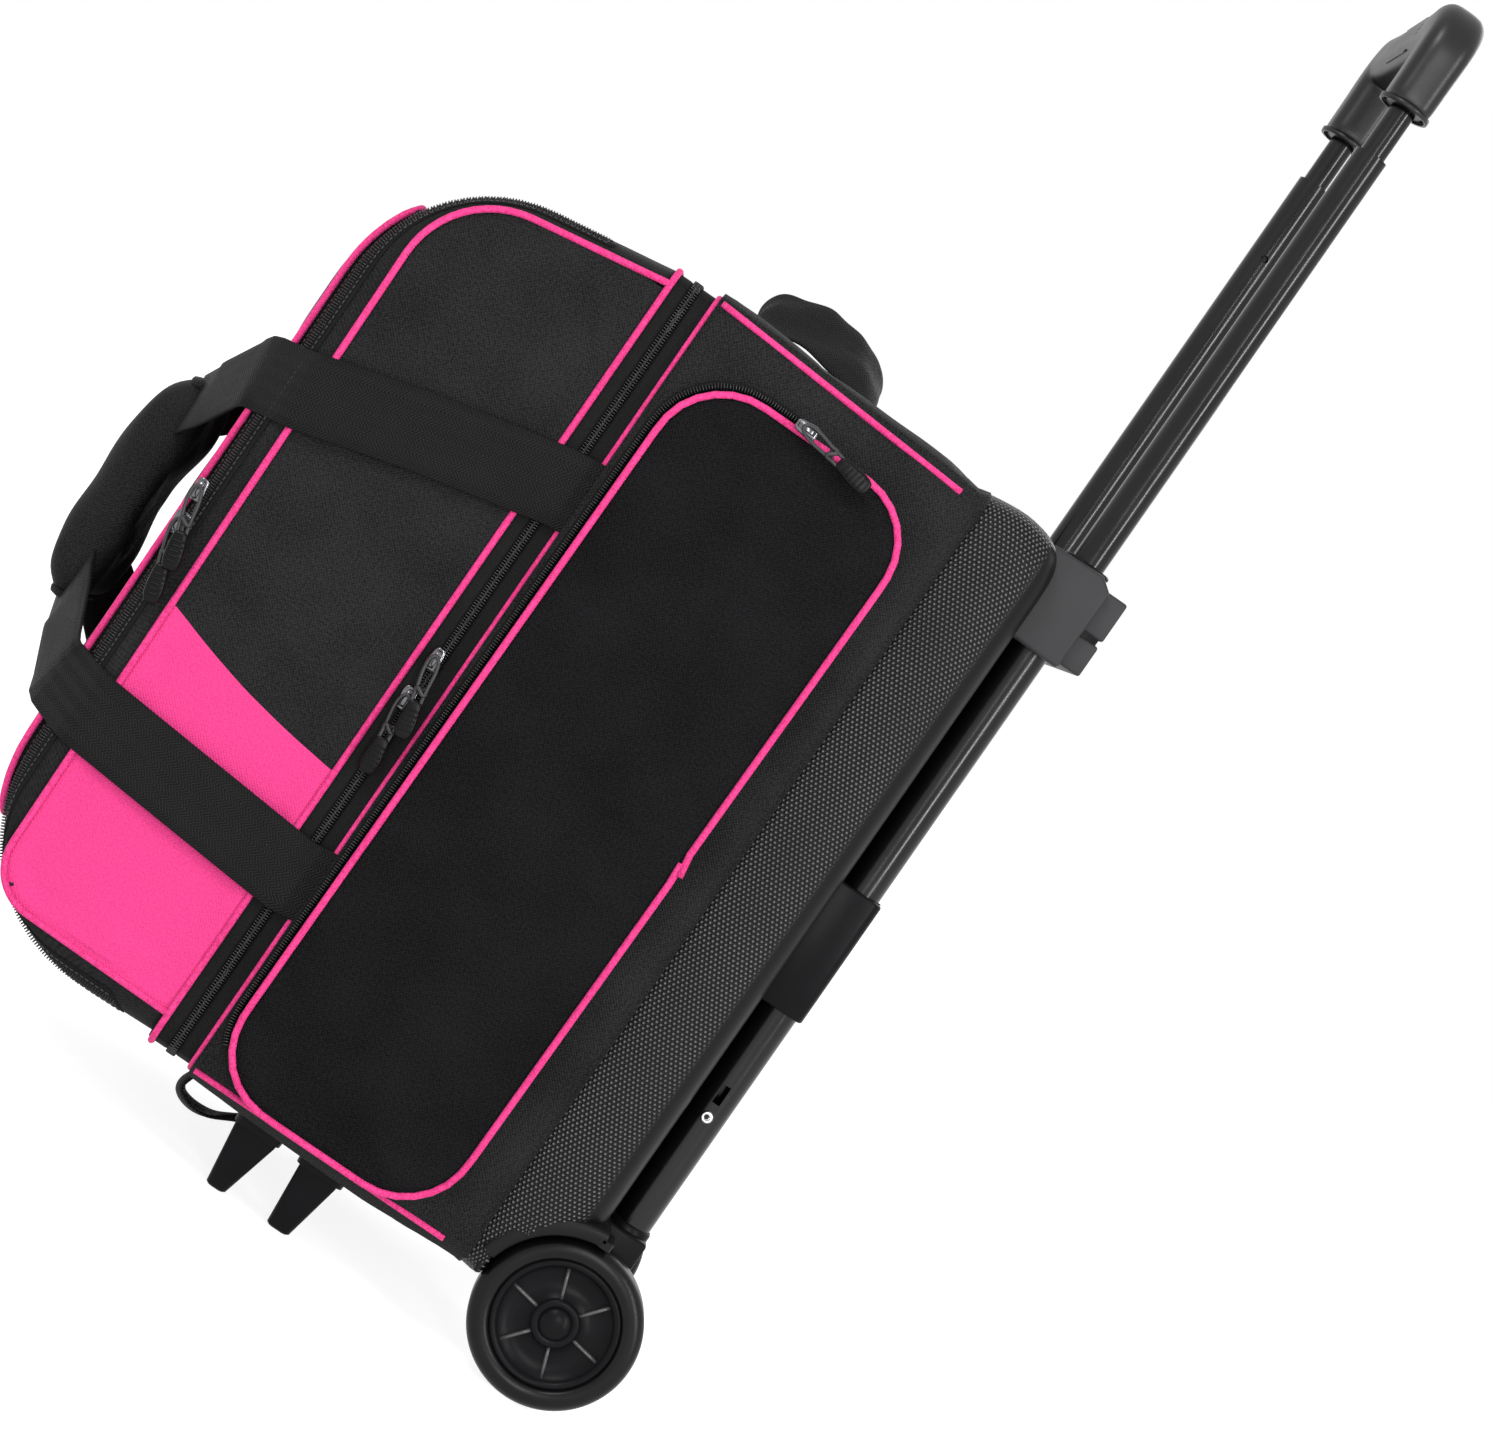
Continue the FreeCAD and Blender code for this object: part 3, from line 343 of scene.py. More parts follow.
# Dark and light tone of the two cloths, linear RGB.
BLACK = ((0.0010, 0.0010, 0.0013), (0.0150, 0.0150, 0.0160))
PINK = ((0.42, 0.018, 0.115), (0.68, 0.050, 0.22))
looks = {
    "black_fabric": woven("black_fabric_weave", *BLACK),
    "pocket_fabric": woven("pocket_fabric_weave", (0.0006, 0.0006, 0.0008), (0.0070, 0.0070, 0.0078),
                           gloss=0.06),
    "lid_side_fabric": two_tone("lid_side_weave", BLACK, PINK),
    "webbing": ribbed_webbing("webbing_herringbone", (0.0008, 0.0008, 0.001), (0.010, 0.010, 0.0105)),
    "binding": ribbed_webbing("binding_webbing", (0.001, 0.001, 0.0012), (0.016, 0.016, 0.017)),
    "zip_tape": woven("zip_tape_twill", (0.0006, 0.0006, 0.0007), (0.006, 0.006, 0.0065), pitch=0.6,
                      depth=0.06),
    "pink_piping": woven("pink_piping_cloth", *PINK, pitch=0.7, depth=0.07, on_cloth=False, sheen=0.05),
    "lining": woven("grey_lining", (0.02, 0.02, 0.022), (0.045, 0.045, 0.05), pitch=0.5, depth=0.04),
    "coated_base": dotted_base("dotted_base_sheet"),
    "smooth_base": moulded("smooth_base_edge", (0.003, 0.003, 0.003), (0.006, 0.006, 0.007), 0.4,
                           specular=0.13),
    "foam": moulded("grey_foam", (0.02, 0.02, 0.022), (0.06, 0.06, 0.065), 0.9, grain=1.2, depth=0.3),
    "painted_tube": moulded("painted_tube", (0.0010, 0.0010, 0.0012), (0.0022, 0.0022, 0.0026), 0.18,
                            grain=9.0, depth=0, specular=0.32),
    "black_plastic": moulded("black_plastic", (0.002, 0.002, 0.0023), (0.005, 0.005, 0.006), 0.34,
                             specular=0.07),
    "bracket_plastic": moulded("bracket_plastic", (0.012, 0.012, 0.013), (0.026, 0.026, 0.028), 0.5,
                               specular=0.2),
    "rim_plastic": moulded("rim_plastic", (0.002, 0.002, 0.0023), (0.006, 0.006, 0.007), 0.34, grain=0.4,
                           specular=0.07),
    "tyre": moulded("tyre_rubber", (0.001, 0.001, 0.001), (0.004, 0.004, 0.0045), 0.32, grain=0.8,
                    specular=0.17),
    # Wheel ribs: the rim's black plastic made lighter, a painted highlight on the ribs.
    "rib_plastic_painted_highlight": moulded("rib_plastic_painted_highlight", (0.02, 0.02, 0.02), (0.06, 0.06, 0.062), 0.3, grain=0.4),
    "steel": metal("plated_steel", (0.80, 0.80, 0.82), 0.24),
    "soft_grip": moulded("soft_touch_grip", (0.0025, 0.0025, 0.003), (0.006, 0.006, 0.0065), 0.36,
                         grain=0.5, specular=0.34),
    "button_plastic": moulded("button_plastic", (0.010, 0.010, 0.011), (0.018, 0.018, 0.020), 0.42),
    "slider_metal": metal("blackened_slider", (0.16, 0.16, 0.17), 0.16),
    "pull_rubber": moulded("pull_rubber", (0.0012, 0.0012, 0.0014), (0.0045, 0.0045, 0.005), 0.3,
                           specular=0.12),
    "coil": moulded("zip_coil_nylon", (0.003, 0.003, 0.0035), (0.010, 0.010, 0.011), 0.22, specular=0.35),
    "thread": moulded("black_thread", (0.002, 0.002, 0.0025), (0.016, 0.016, 0.018), 0.5, grain=0.3),
    "pink_thread": moulded("pink_thread", (0.5, 0.010, 0.11), (0.70, 0.022, 0.17), 0.6, grain=0.3),
}


# ---------------------------------------------------------------- mesh helpers

def add_mesh(name, points, faces, look, body="root", uv=None):
    """Object from millimetre points, on a body, with a look."""
    mesh = bpy.data.meshes.new(name)
    mesh.from_pydata([Vector(p) * MM for p in points], [], faces)
    if uv:
        layer = mesh.uv_layers.new(name=WEAVE_UV)
        for face, corner_uv in zip(mesh.polygons, uv):
            for loop, value in zip(face.loop_indices, corner_uv):
                layer.data[loop].uv = value
    mesh.polygons.foreach_set("use_smooth", [True] * len(mesh.polygons))
    piece = bpy.data.objects.new(name, mesh)
    bpy.context.collection.objects.link(piece)
    mesh.materials.append(looks[look])
    if body:
        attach(piece, body)
    return piece


def running_length(points, closed=False):
    """Distance along a line of points, starting at 0."""
    total = [0.0]
    for a, b in zip(points, points[1:] + (points[:1] if closed else [])):
        total.append(total[-1] + (Vector(b) - Vector(a)).length)
    return total


def add_wall(piece, depth, offset=-1):
    """Thickness of a shell, inwards unless offset is 1."""
    wall = piece.modifiers.new("thickness", "SOLIDIFY")
    wall.thickness = depth * MM
    wall.offset = offset


def add_rounding(piece, steps):
    rounding = piece.modifiers.new("smooth", "SUBSURF")
    rounding.levels = rounding.render_levels = steps


def add_grid(name, rows, look, body="root", closed=False, keep=None, thick=0.0, flip=False,
             smooth_steps=1):
    """Woven panel from rows of points; closed joins each row's ends; keep drops faces by their middle."""
    wide = len(rows[0])
    along = running_length(rows[len(rows) // 2], closed)
    across = running_length([row[wide // 2] for row in rows])
    points = [p for row in rows for p in row]
    faces = []
    uv = []
    for j in range(len(rows) - 1):
        for i in range(wide if closed else wide - 1):
            k = (i + 1) % wide
            face = (j * wide + i, j * wide + k, (j + 1) * wide + k, (j + 1) * wide + i)
            if keep and not keep(sum((Vector(points[n]) for n in face), Vector()) / 4):
                continue
            corner_uv = [(along[i], across[j]), (along[i + 1], across[j]), (along[i + 1], across[j + 1]),
                         (along[i], across[j + 1])]
            if flip:
                face = face[::-1]
                corner_uv = corner_uv[::-1]
            faces.append(face)
            uv.append(corner_uv)
    piece = add_mesh(name, points, faces, look, None, uv)
    clean(piece)
    if thick:
        add_wall(piece, thick)
    if smooth_steps:
        add_rounding(piece, smooth_steps)
    if body:
        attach(piece, body)
    return piece


def clean(piece):
    """Drop loose and doubled points."""
    work = bmesh.new()
    work.from_mesh(piece.data)
    bmesh.ops.remove_doubles(work, verts=work.verts, dist=0.02 * MM)
    bmesh.ops.delete(work, geom=[v for v in work.verts if not v.link_faces], context="VERTS")
    work.to_mesh(piece.data)
    work.free()


def bake(piece):
    """Turn a piece's modifiers into mesh."""
    bpy.context.view_layer.update()
    shape = piece.evaluated_get(bpy.context.evaluated_depsgraph_get())
    mesh = bpy.data.meshes.new_from_object(shape)
    piece.modifiers.clear()
    old = piece.data
    piece.data = mesh
    bpy.data.meshes.remove(old)


def frames_along(path, up, closed=False):
    """(place, direction, side, up) at each point of a path; up is a vector or one for each point."""
    count = len(path)
    result = []
    for i, place in enumerate(path):
        before = path[i - 1] if closed or i else path[i]
        after = path[(i + 1) % count] if closed or i < count - 1 else path[i]
        direction = (Vector(after) - Vector(before)).normalized()
        above = Vector(up[i] if isinstance(up, list) else up)
        side = direction.cross(above).normalized()
        result.append((Vector(place), direction, side, side.cross(direction).normalized()))
    return result


def add_sweep(name, path, section, look, body="root", up=(1, 0, 0), closed=False, scale=None,
              smooth_steps=0):
    """Solid swept along a path; section is a closed list of (side, up) offsets."""
    points = []
    count = len(section)
    for n, (place, _, side, above) in enumerate(frames_along(path, up, closed)):
        grow = scale[n] if scale else (1, 1)
        points += [place + side * a * grow[0] + above * b * grow[1] for a, b in section]
    rounds = running_length([Vector((a, b, 0)) for a, b in section], True)
    along = running_length(path, closed)
    faces = []
    uv = []
    for j in range(len(path) if closed else len(path) - 1):
        k = (j + 1) % len(path)
        for i in range(count):
            h = (i + 1) % count
            faces.append((j * count + i, j * count + h, k * count + h, k * count + i))
            uv.append([(rounds[i], along[j]), (rounds[i + 1], along[j]), (rounds[i + 1], along[j + 1]),
                       (rounds[i], along[j + 1])])
    if not closed:
        last = (len(path) - 1) * count
        for face in (tuple(reversed(range(count))), tuple(range(last, last + count))):
            faces.append(face)
            uv.append([(0, 0)] * count)
    piece = add_mesh(name, points, faces, look, None, uv)
    if smooth_steps:
        add_rounding(piece, smooth_steps)
    if body:
        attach(piece, body)
    return piece


def ring_section(radius, steps=10):
    return [(radius * math.cos(2 * math.pi * i / steps), radius * math.sin(2 * math.pi * i / steps))
            for i in range(steps)]


def strap_section(width, thick):
    """Flat webbing with rounded edges."""
    half, deep = width / 2, thick / 2
    top = [(half * t, deep) for t in (0.97, 0.6, 0.2, -0.2, -0.6, -0.97)]
    return [(half, 0)] + top + [(-half, 0)] + [(a, -b) for a, b in reversed(top)]


def add_piping(name, path, body="root", closed=False, up=(1, 0, 0)):
    """Cord in its fabric along a seam."""
    return add_sweep(name, path, ring_section(PIPING_RADIUS), "pink_piping", body, up, closed)


def rounded_path(points, radii, steps=8):
    """Open line through corner points, each inner corner rounded by an arc."""
    points = [Vector(p) for p in points]
    result = [points[0]]
    for i in range(1, len(points) - 1):
        back = (points[i - 1] - points[i]).normalized()
        ahead = (points[i + 1] - points[i]).normalized()
        angle = back.angle(ahead)
        reach = radii[i - 1] / math.tan(angle / 2)
        middle = points[i] + (back + ahead).normalized() * radii[i - 1] / math.sin(angle / 2)
        start = (points[i] + back * reach - middle).normalized()
        end = (points[i] + ahead * reach - middle).normalized()
        for n in range(steps + 1):
            result.append(middle + start.slerp(end, n / steps) * radii[i - 1])
    return result + [points[-1]]


def spaced(line, pieces, number):
    """The first number points of a line that is cut into equal pieces."""
    total = running_length(line)
    result = []
    i = 0
    for n in range(number):
        at = total[-1] * n / pieces
        while i < len(total) - 2 and total[i + 1] < at:
            i += 1
        share = (at - total[i]) / max(total[i + 1] - total[i], 1e-9)
        result.append(line[i].lerp(line[i + 1], share))
    return result


def resample(path, step, closed=False):
    """Points a constant distance apart along a line."""
    line = list(path) + ([path[0]] if closed else [])
    count = max(2, round(running_length(line)[-1] / step))
    return spaced(line, count, count if closed else count + 1)


def even_loop(loop, count):
    """The same closed loop with a set number of evenly spaced points."""
    return spaced(loop + [loop[0]], count, count)


def middle_of(row):
    return sum(row, Vector()) / len(row)


def tapered_end(row, share):
    """Smaller copy of an end row that nearly closes a grid."""
    centre = middle_of(row)
    return [centre.lerp(p, share) for p in row]


def rounded_loop(width, height, radius, steps=8):
    """Closed rounded rectangle about the origin, counter-clockwise, as (a, b) pairs."""
    loop = []
    middles = ((1, -1, -90), (1, 1, 0), (-1, 1, 90), (-1, -1, 180))
    for sx, sy, start in middles:
        for n in range(steps + 1):
            turn = math.radians(start + 90 * n / steps)
            loop.append((sx * (width / 2 - radius) + radius * math.cos(turn),
                         sy * (height / 2 - radius) + radius * math.sin(turn)))
    return loop


def join(name, pieces):
    """Several pieces of one body as one object."""
    bpy.ops.object.select_all(action="DESELECT")
    for piece in pieces:
        if piece.modifiers:
            bake(piece)
        piece.select_set(True)
    bpy.context.view_layer.objects.active = pieces[0]
    bpy.ops.object.join()
    pieces[0].name = name
    return pieces[0]


BAR_SIDES = 6
BAR_ROWS = 4


def bar_faces(base):
    """Faces of one closed bar of BAR_ROWS rings, whose points start at base."""
    faces = []
    for j in range(BAR_ROWS - 1):
        ring, following = base + j * BAR_SIDES, base + (j + 1) * BAR_SIDES
        for i in range(BAR_SIDES):
            k = (i + 1) % BAR_SIDES
            faces.append((ring + i, ring + k, following + k, following + i))
    faces.append(tuple(base + i for i in reversed(range(BAR_SIDES))))
    faces.append(tuple(base + (BAR_ROWS - 1) * BAR_SIDES + i for i in range(BAR_SIDES)))
    return faces


def nearest_ups(path, ups, line):
    """The up vector of the path's nearest point for each point of a line along it."""
    result = []
    i = 0
    for place in line:
        while i < len(path) - 1 and (path[i + 1] - place).length < (path[i] - place).length:
            i += 1
        result.append(ups[i])
    return result


def add_teeth(name, path, up, body, length, offset=0.0, phase=0.0, high=1.0):
    """Row of coil turns along a path, each a rounded bar across it; up is one vector or a list."""
    line = resample(path, COIL_PITCH)
    ups = nearest_ups(path, up, line) if isinstance(up, list) else up
    profile = [(-0.5, 0.55), (-0.34, 1.0), (0.34, 1.0), (0.5, 0.55)]
    ring = [(math.cos(a), math.sin(a)) for a in (math.pi * (2 * k + 1) / 6 for k in range(BAR_SIDES))]
    points = []
    faces = []
    for place, direction, side, above in frames_along(line, ups):
        place = place + direction * phase
        faces += bar_faces(len(points))
        for reach, grow in profile:
            for a, b in ring:
                points.append(place + side * (offset + reach * length)
                              + direction * a * grow * TOOTH_WIDTH * 0.5 + above * (b * grow * high * 0.5))
    return add_mesh(name, points, faces, "coil", body)


def add_stitches(name, path, up, body, pitch=3.4):
    """Row of thread stitches lying on a surface: small bars with gaps between them."""
    points = []
    faces = []
    stations = [(-0.36, 0.5, -0.35), (-0.22, 1.0, 0.1), (0.22, 1.0, 0.1), (0.36, 0.5, -0.35)]
    ring = [(math.cos(math.pi * k / 3), math.sin(math.pi * k / 3)) for k in range(BAR_SIDES)]
    for place, direction, side, above in frames_along(resample(path, pitch), up):
        faces += bar_faces(len(points))
        for reach, grow, rise in stations:
            for a, b in ring:
                points.append(place + direction * reach * pitch + side * a * grow * 0.35
                              + above * (STITCH_LIFT + rise * 0.4 + b * grow * 0.28))
    return add_mesh(name, points, faces, "thread", body)


def add_lathe(name, profile, look, body, centre, axis="x", steps=64):
    """Turned piece: profile is a list of (along the axis, radius)."""
    points = []
    faces = []
    for n in range(steps):
        turn = 2 * math.pi * n / steps
        c, s = math.cos(turn), math.sin(turn)
        for a, r in profile:
            offset = {"x": (a, r * c, r * s), "y": (r * s, a, r * c), "z": (r * c, r * s, a)}[axis]
            points.append(Vector(centre) + Vector(offset))
    count = len(profile)
    for n in range(steps):
        k = (n + 1) % steps
        for i in range(count - 1):
            faces.append((n * count + i, n * count + i + 1, k * count + i + 1, k * count + i))
    piece = add_mesh(name, points, faces, look, None)
    work = bmesh.new()
    work.from_mesh(piece.data)
    bmesh.ops.remove_doubles(work, verts=work.verts, dist=0.01 * MM)
    bmesh.ops.recalc_face_normals(work, faces=work.faces)
    work.to_mesh(piece.data)
    work.free()
    if body:
        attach(piece, body)
    return piece


# Edges bent by more than RIM_ANGLE are bevelled; shading breaks where faces meet by more than SHARP_ANGLE.
RIM_ANGLE = math.radians(50)
SHARP_ANGLE = math.radians(35)


def add_moulding(name, outline, axis, low, high, look, body, edge=1.5, steps=3):
    """Plate with rounded edges: a closed outline extruded along an axis and bevelled."""
    def place(a, b, depth):
        return {"x": (depth, a, b), "y": (a, depth, b), "z": (a, b, depth)}[axis]
    count = len(outline)
    points = [place(a, b, low) for a, b in outline] + [place(a, b, high) for a, b in outline]
    faces = [tuple(range(count)), tuple(range(2 * count - 1, count - 1, -1))]
    faces += [(i, i + count, (i + 1) % count + count, (i + 1) % count) for i in range(count)]
    piece = add_mesh(name, points, faces, look, None)
    work = bmesh.new()
    work.from_mesh(piece.data)
    bmesh.ops.recalc_face_normals(work, faces=work.faces)
    rims = [e for e in work.edges if len(e.link_faces) == 2 and e.calc_face_angle(0) > RIM_ANGLE]
    bmesh.ops.bevel(work, geom=rims, offset=edge * MM, segments=steps, profile=0.5, affect="EDGES",
                    clamp_overlap=True)
    work.to_mesh(piece.data)
    work.free()
    piece.data.polygons.foreach_set("use_smooth", [True] * len(piece.data.polygons))
    piece.data.set_sharp_from_angle(angle=SHARP_ANGLE)
    if body:
        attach(piece, body)
    return piece


def box_outline(a0, a1, b0, b1):
    return [(a0, b0), (a1, b0), (a1, b1), (a0, b1)]


SETTLE_FRAMES = 16


def settle(piece, pinned, pressure, cap, slack=0.0):
    """Cloth simulation that puffs a panel between its seams; no point moves further than cap."""
    start = [v.co.copy() for v in piece.data.vertices]
    group = piece.vertex_groups.new(name="seams")
    group.add([v.index for v in piece.data.vertices if pinned(v.co / MM)], 1.0, "REPLACE")
    kept = list(piece.modifiers)
    for modifier in kept:
        modifier.show_viewport = False
    cloth = piece.modifiers.new("cloth", "CLOTH")
    settings = cloth.settings
    settings.quality = 6
    settings.mass = 0.25
    settings.tension_stiffness = settings.compression_stiffness = 20
    settings.shear_stiffness = 8
    settings.bending_stiffness = 0.8
    settings.vertex_group_mass = "seams"
    settings.use_pressure = True
    settings.uniform_pressure_force = pressure
    settings.shrink_min = -slack
    settings.effector_weights.gravity = 0
    cloth.collision_settings.use_collision = False
    scene = bpy.context.scene
    for number in range(1, SETTLE_FRAMES + 1):
        scene.frame_set(number)
    shape = piece.evaluated_get(bpy.context.evaluated_depsgraph_get())
    moved = [v.co.copy() for v in shape.to_mesh().vertices]
    shape.to_mesh_clear()
    piece.modifiers.remove(cloth)
    scene.frame_set(1)
    for vertex, old, new in zip(piece.data.vertices, start, moved):
        step = new - old
        if step.length > cap * MM:
            step = step.normalized() * cap * MM
        vertex.co = old + step
    piece.vertex_groups.clear()
    for modifier in kept:
        modifier.show_viewport = True


def ripple(piece, height, size, seed, fixed=None):
    """Slow unevenness of a soft surface; fixed(point) is 0 where the surface is sewn down."""
    for vertex in piece.data.vertices:
        place = vertex.co / MM
        amount = noise.noise(place / size + Vector((seed, 0, 0))) * height
        if fixed:
            amount *= fixed(place)
        vertex.co += vertex.normal * amount * MM


# ---------------------------------------------------------------- hard base

ROUND_BACK = 17
BASE_CORNER = 15
ARCH_X = 88
ARCH_RADIUS = WHEEL_RADIUS + 5
MIDDLE_Z = (BODY_LOW + BODY_HIGH) / 2


def wheel_arc(x, radius, start, step, count):
    """Points round a wheel's axle at one x, from a start angle in degrees."""
    turns = [math.radians(start + step * n) for n in range(count)]
    return [Vector((x, AXLE_Y + radius * math.cos(a), AXLE_Z + radius * math.sin(a))) for a in turns]


def add_base():
    """Moulded base: a shallow tub with dotted faces, rounded at the back, cut out round the wheels."""
    round_start = TRAY_BACK - ROUND_BACK
    stations = [(TRAY_FRONT - 3, 1.0), (TRAY_FRONT + 2, 0.2), (TRAY_FRONT + 12, -1.2), (TRAY_FRONT + 22, -1.8),
                (round_start - 2, -0.8), (round_start + 2, 0.0)]
    for n in range(1, 7):
        turn = math.radians(15 * n)
        stations.append((round_start + ROUND_BACK * math.sin(turn), ROUND_BACK * (1 - math.cos(turn))))
    stations += [(TRAY_BACK, inset) for inset in (26, 45, 70, 100)]
    rows = []
    for y, inset in stations:
        loop = rounded_loop(2 * (HALF - inset), BODY_HIGH - BODY_LOW - 2 * inset,
                            max(BASE_CORNER - 0.5 * inset, 5), 6)
        row = resample([Vector((MID_X + a, y, MIDDLE_Z + b)) for a, b in loop], 9.0, True)
        rows.append(even_loop(row, 144))

    def clear_of_wheels(p):
        away = math.hypot(p.y - AXLE_Y, p.z - AXLE_Z)
        return not (away < ARCH_RADIUS and abs(p.x - MID_X) > ARCH_X)
    base = add_grid("base_shell", rows, "coated_base", closed=True, keep=clear_of_wheels, thick=2.5)
    back_rows = [tapered_end(rows[-1], share) for share in (1.0, 0.66, 0.33, 0.02)]
    add_grid("base_back_face", back_rows, "coated_base", closed=True, thick=2.5, smooth_steps=0)
    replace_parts(base, "base_tray")
    for name, side in (("near", 1), ("far", -1)):
        liner = [wheel_arc(MID_X + side * x, ARCH_RADIUS, 80, 6, 18) for x in (HALF - 1, HALF - 10, ARCH_X)]
        cup = [[Vector((p.x, min(p.y, TRAY_BACK - 1), max(p.z, BODY_LOW + 1))) for p in row] for row in liner]
        inner = [Vector((cup[-1][0].x, TRAY_BACK - 2, BODY_LOW + 2)) for _ in cup[-1]]
        add_grid(f"{name}_wheel_arch", cup + [inner], "smooth_base", thick=2.0,
                 flip=side > 0, smooth_steps=0)


def add_fenders():
    """Smooth moulded arches over the wheels, joined to the base."""
    for name, side in (("near", 1), ("far", -1)):
        arc = wheel_arc(MID_X + side * (HALF - 9), WHEEL_RADIUS + 6, 66, 3, 34)
        path = [Vector((p.x, min(p.y, TRAY_BACK + 6), p.z)) for p in arc]
        fender = add_sweep(f"{name}_wheel_fender", path, rounded_loop(25, 9.0, 3.0, 4), "smooth_base",
                           up=[(p - Vector((p.x, AXLE_Y, AXLE_Z))).normalized() for p in path])
        fender.data.set_sharp_from_angle(angle=RIM_ANGLE)


# ---------------------------------------------------------------- ball compartment

END_INSET = 7.0
SIDE_TOP = BODY_HIGH - END_INSET
SIDE_LOW = BODY_LOW + END_INSET
BODY_CORNER = 7


def ramp(value, low, high):
    """0 up to low, 1 from high, and straight between them."""
    return min(max((value - low) / (high - low), 0), 1)


def body_top(y):
    """Height of the upper piped edge: it falls from the mouth towards the base."""
    return SIDE_TOP + 8.0 - 10.0 * ramp(y, MOUTH_Y, TRAY_FRONT)


def body_loop(y, count=150):
    """Section of the ball compartment: flat sides, and ends that swell beyond the piped edges."""
    mouth_share = ramp(y, MOUTH_Y, MOUTH_Y + 40)
    base_share = min(max((TRAY_FRONT - y) / 30, 0), 1)
    top = body_top(y)
    middle_z = (SIDE_LOW + top) / 2
    swell = 2.0 + 8.0 * math.sin(math.pi * mouth_share / 2) * (0.5 + 0.5 * base_share)
    outline = rounded_loop(2 * HALF, top - SIDE_LOW, BODY_CORNER, 5)
    loop = even_loop([Vector((MID_X + a, y, middle_z + b)) for a, b in outline], count)
    for p in loop:
        across = max(0.0, 1 - ((p.x - MID_X) / (HALF - 3)) ** 2)
        up = 1 if p.z > middle_z else -1
        if p.z > top - BODY_CORNER or p.z < SIDE_LOW + BODY_CORNER:
            p.z += up * swell * across ** 0.5
        if p.x < FAR_X + 2:
            p.x -= 1.2 * max(0.0, 1 - (2 * (p.z - middle_z) / (top - SIDE_LOW)) ** 2)
    return loop


def add_compartment():
    """Padded walls of the ball compartment in one shell from the mouth to the base."""
    depths = [MOUTH_Y + t * (TRAY_FRONT - MOUTH_Y - 1) / 26 for t in range(27)]
    rows = [body_loop(y) for y in depths]
    shell = add_grid("compartment_shell", rows, "black_fabric", body=None, closed=True, smooth_steps=0)

    def sewn(p):
        seam = abs(p.y - MOUTH_Y) < 4 or p.y > TRAY_FRONT - 18
        corner = abs(abs(p.x - MID_X) - HALF) < 5 and (p.z > body_top(p.y) - 9 or p.z < SIDE_LOW + 9)
        return seam or corner or p.x > NEAR_X - 1
    settle(shell, sewn, 2.0, 4.0, slack=0.004)
    ripple(shell, 0.9, 38, 3, lambda p: min(1, max(0, (p.y - MOUTH_Y) / 20)))
    add_wall(shell, 6)
    bake(shell)
    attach(shell, "root")
    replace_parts(shell, "near_side_panel", "far_side_panel", "top_end_panel", "bottom_end_panel")
    depths = [MOUTH_Y + 2 + (TRAY_FRONT - 16 - MOUTH_Y) * n / 12 for n in range(13)]
    for word, height in (("top", lambda y: body_top(y) + 1.0), ("bottom", lambda y: SIDE_LOW - 0.8)):
        for side_word, x in (("near", NEAR_X + 1.8), ("far", FAR_X - 1.8)):
            add_piping(f"{side_word}_{word}_edge_piping", [Vector((x, y, height(y))) for y in depths])


MOUTH_POINTS = 220


def mouth_path(y, out):
    """(point, normal) round all four sides at one depth, out beyond the shell's section."""
    loop = body_loop(y, MOUTH_POINTS)
    middle = Vector((MID_X, y, (SIDE_LOW + body_top(y)) / 2))
    moved = []
    for i, p in enumerate(loop):
        tangent = (loop[(i + 1) % MOUTH_POINTS] - loop[i - 1]).normalized()
        normal = Vector((tangent.z, 0, -tangent.x))
        if normal.dot(p - middle) < 0:
            normal = -normal
        moved.append((p + normal * out, normal))
    return moved


def nearest(points, place):
    """Index of the point nearest to a place."""
    return min(range(len(points)), key=lambda i: (points[i] - place).length)


def three_sides(out):
    """The mouth's line over the two ends and the near side, from far bottom to far top, and its normals."""
    moved = mouth_path(MOUTH_Y, out)
    start = nearest([p for p, _ in moved], Vector((FAR_X + 9, MOUTH_Y, SIDE_LOW)))
    turned = moved[start:] + moved[:start]
    stop = nearest([p for p, _ in turned], Vector((FAR_X + 9, MOUTH_Y, body_top(MOUTH_Y))))
    part = turned[:stop + 1]
    if part[len(part) // 2][0].x < MID_X:
        part = [turned[0]] + turned[:stop:-1]
    return [p for p, _ in part], [n for _, n in part]


def at_depth(path, y):
    return [Vector((p.x, y, p.z)) for p in path]


def add_binding():
    """Webbing sewn over the joint of the fabric walls and the base, all the way round."""
    rows = []
    for y, out in ((TRAY_FRONT - 17, 0.2), (TRAY_FRONT - 16.5, 1.3), (TRAY_FRONT - 12, 1.7),
                   (TRAY_FRONT - 6, 1.7), (TRAY_FRONT - 0.5, 1.5), (TRAY_FRONT + 0.4, 0.3)):
        share = (y - TRAY_FRONT + 17) / 17
        tray = rounded_loop(2 * HALF, BODY_HIGH - BODY_LOW, BASE_CORNER, 5)
        tray = even_loop([Vector((MID_X + a, y, MIDDLE_Z + b)) for a, b in tray], MOUTH_POINTS)
        row = []
        for p, normal in mouth_path(y, 0):
            q = min(tray, key=lambda t: (t.x - p.x) ** 2 + (t.z - p.z) ** 2)
            row.append(p.lerp(q, share) + normal * out)
        rows.append(row)
    band = add_grid("base_binding_band", rows, "binding", closed=True, thick=1.2, smooth_steps=0)
    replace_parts(band, "base_binding")
    for k, shift in ((1, 2.0), (4, -2.0)):
        line = [p + Vector((0, shift, 0)) for p in rows[k]] + [rows[k][0]]
        add_stitches(f"binding_stitches_{k}", line, Vector((0, 1, 0)), "root", 4.0)


# ---------------------------------------------------------------- zips

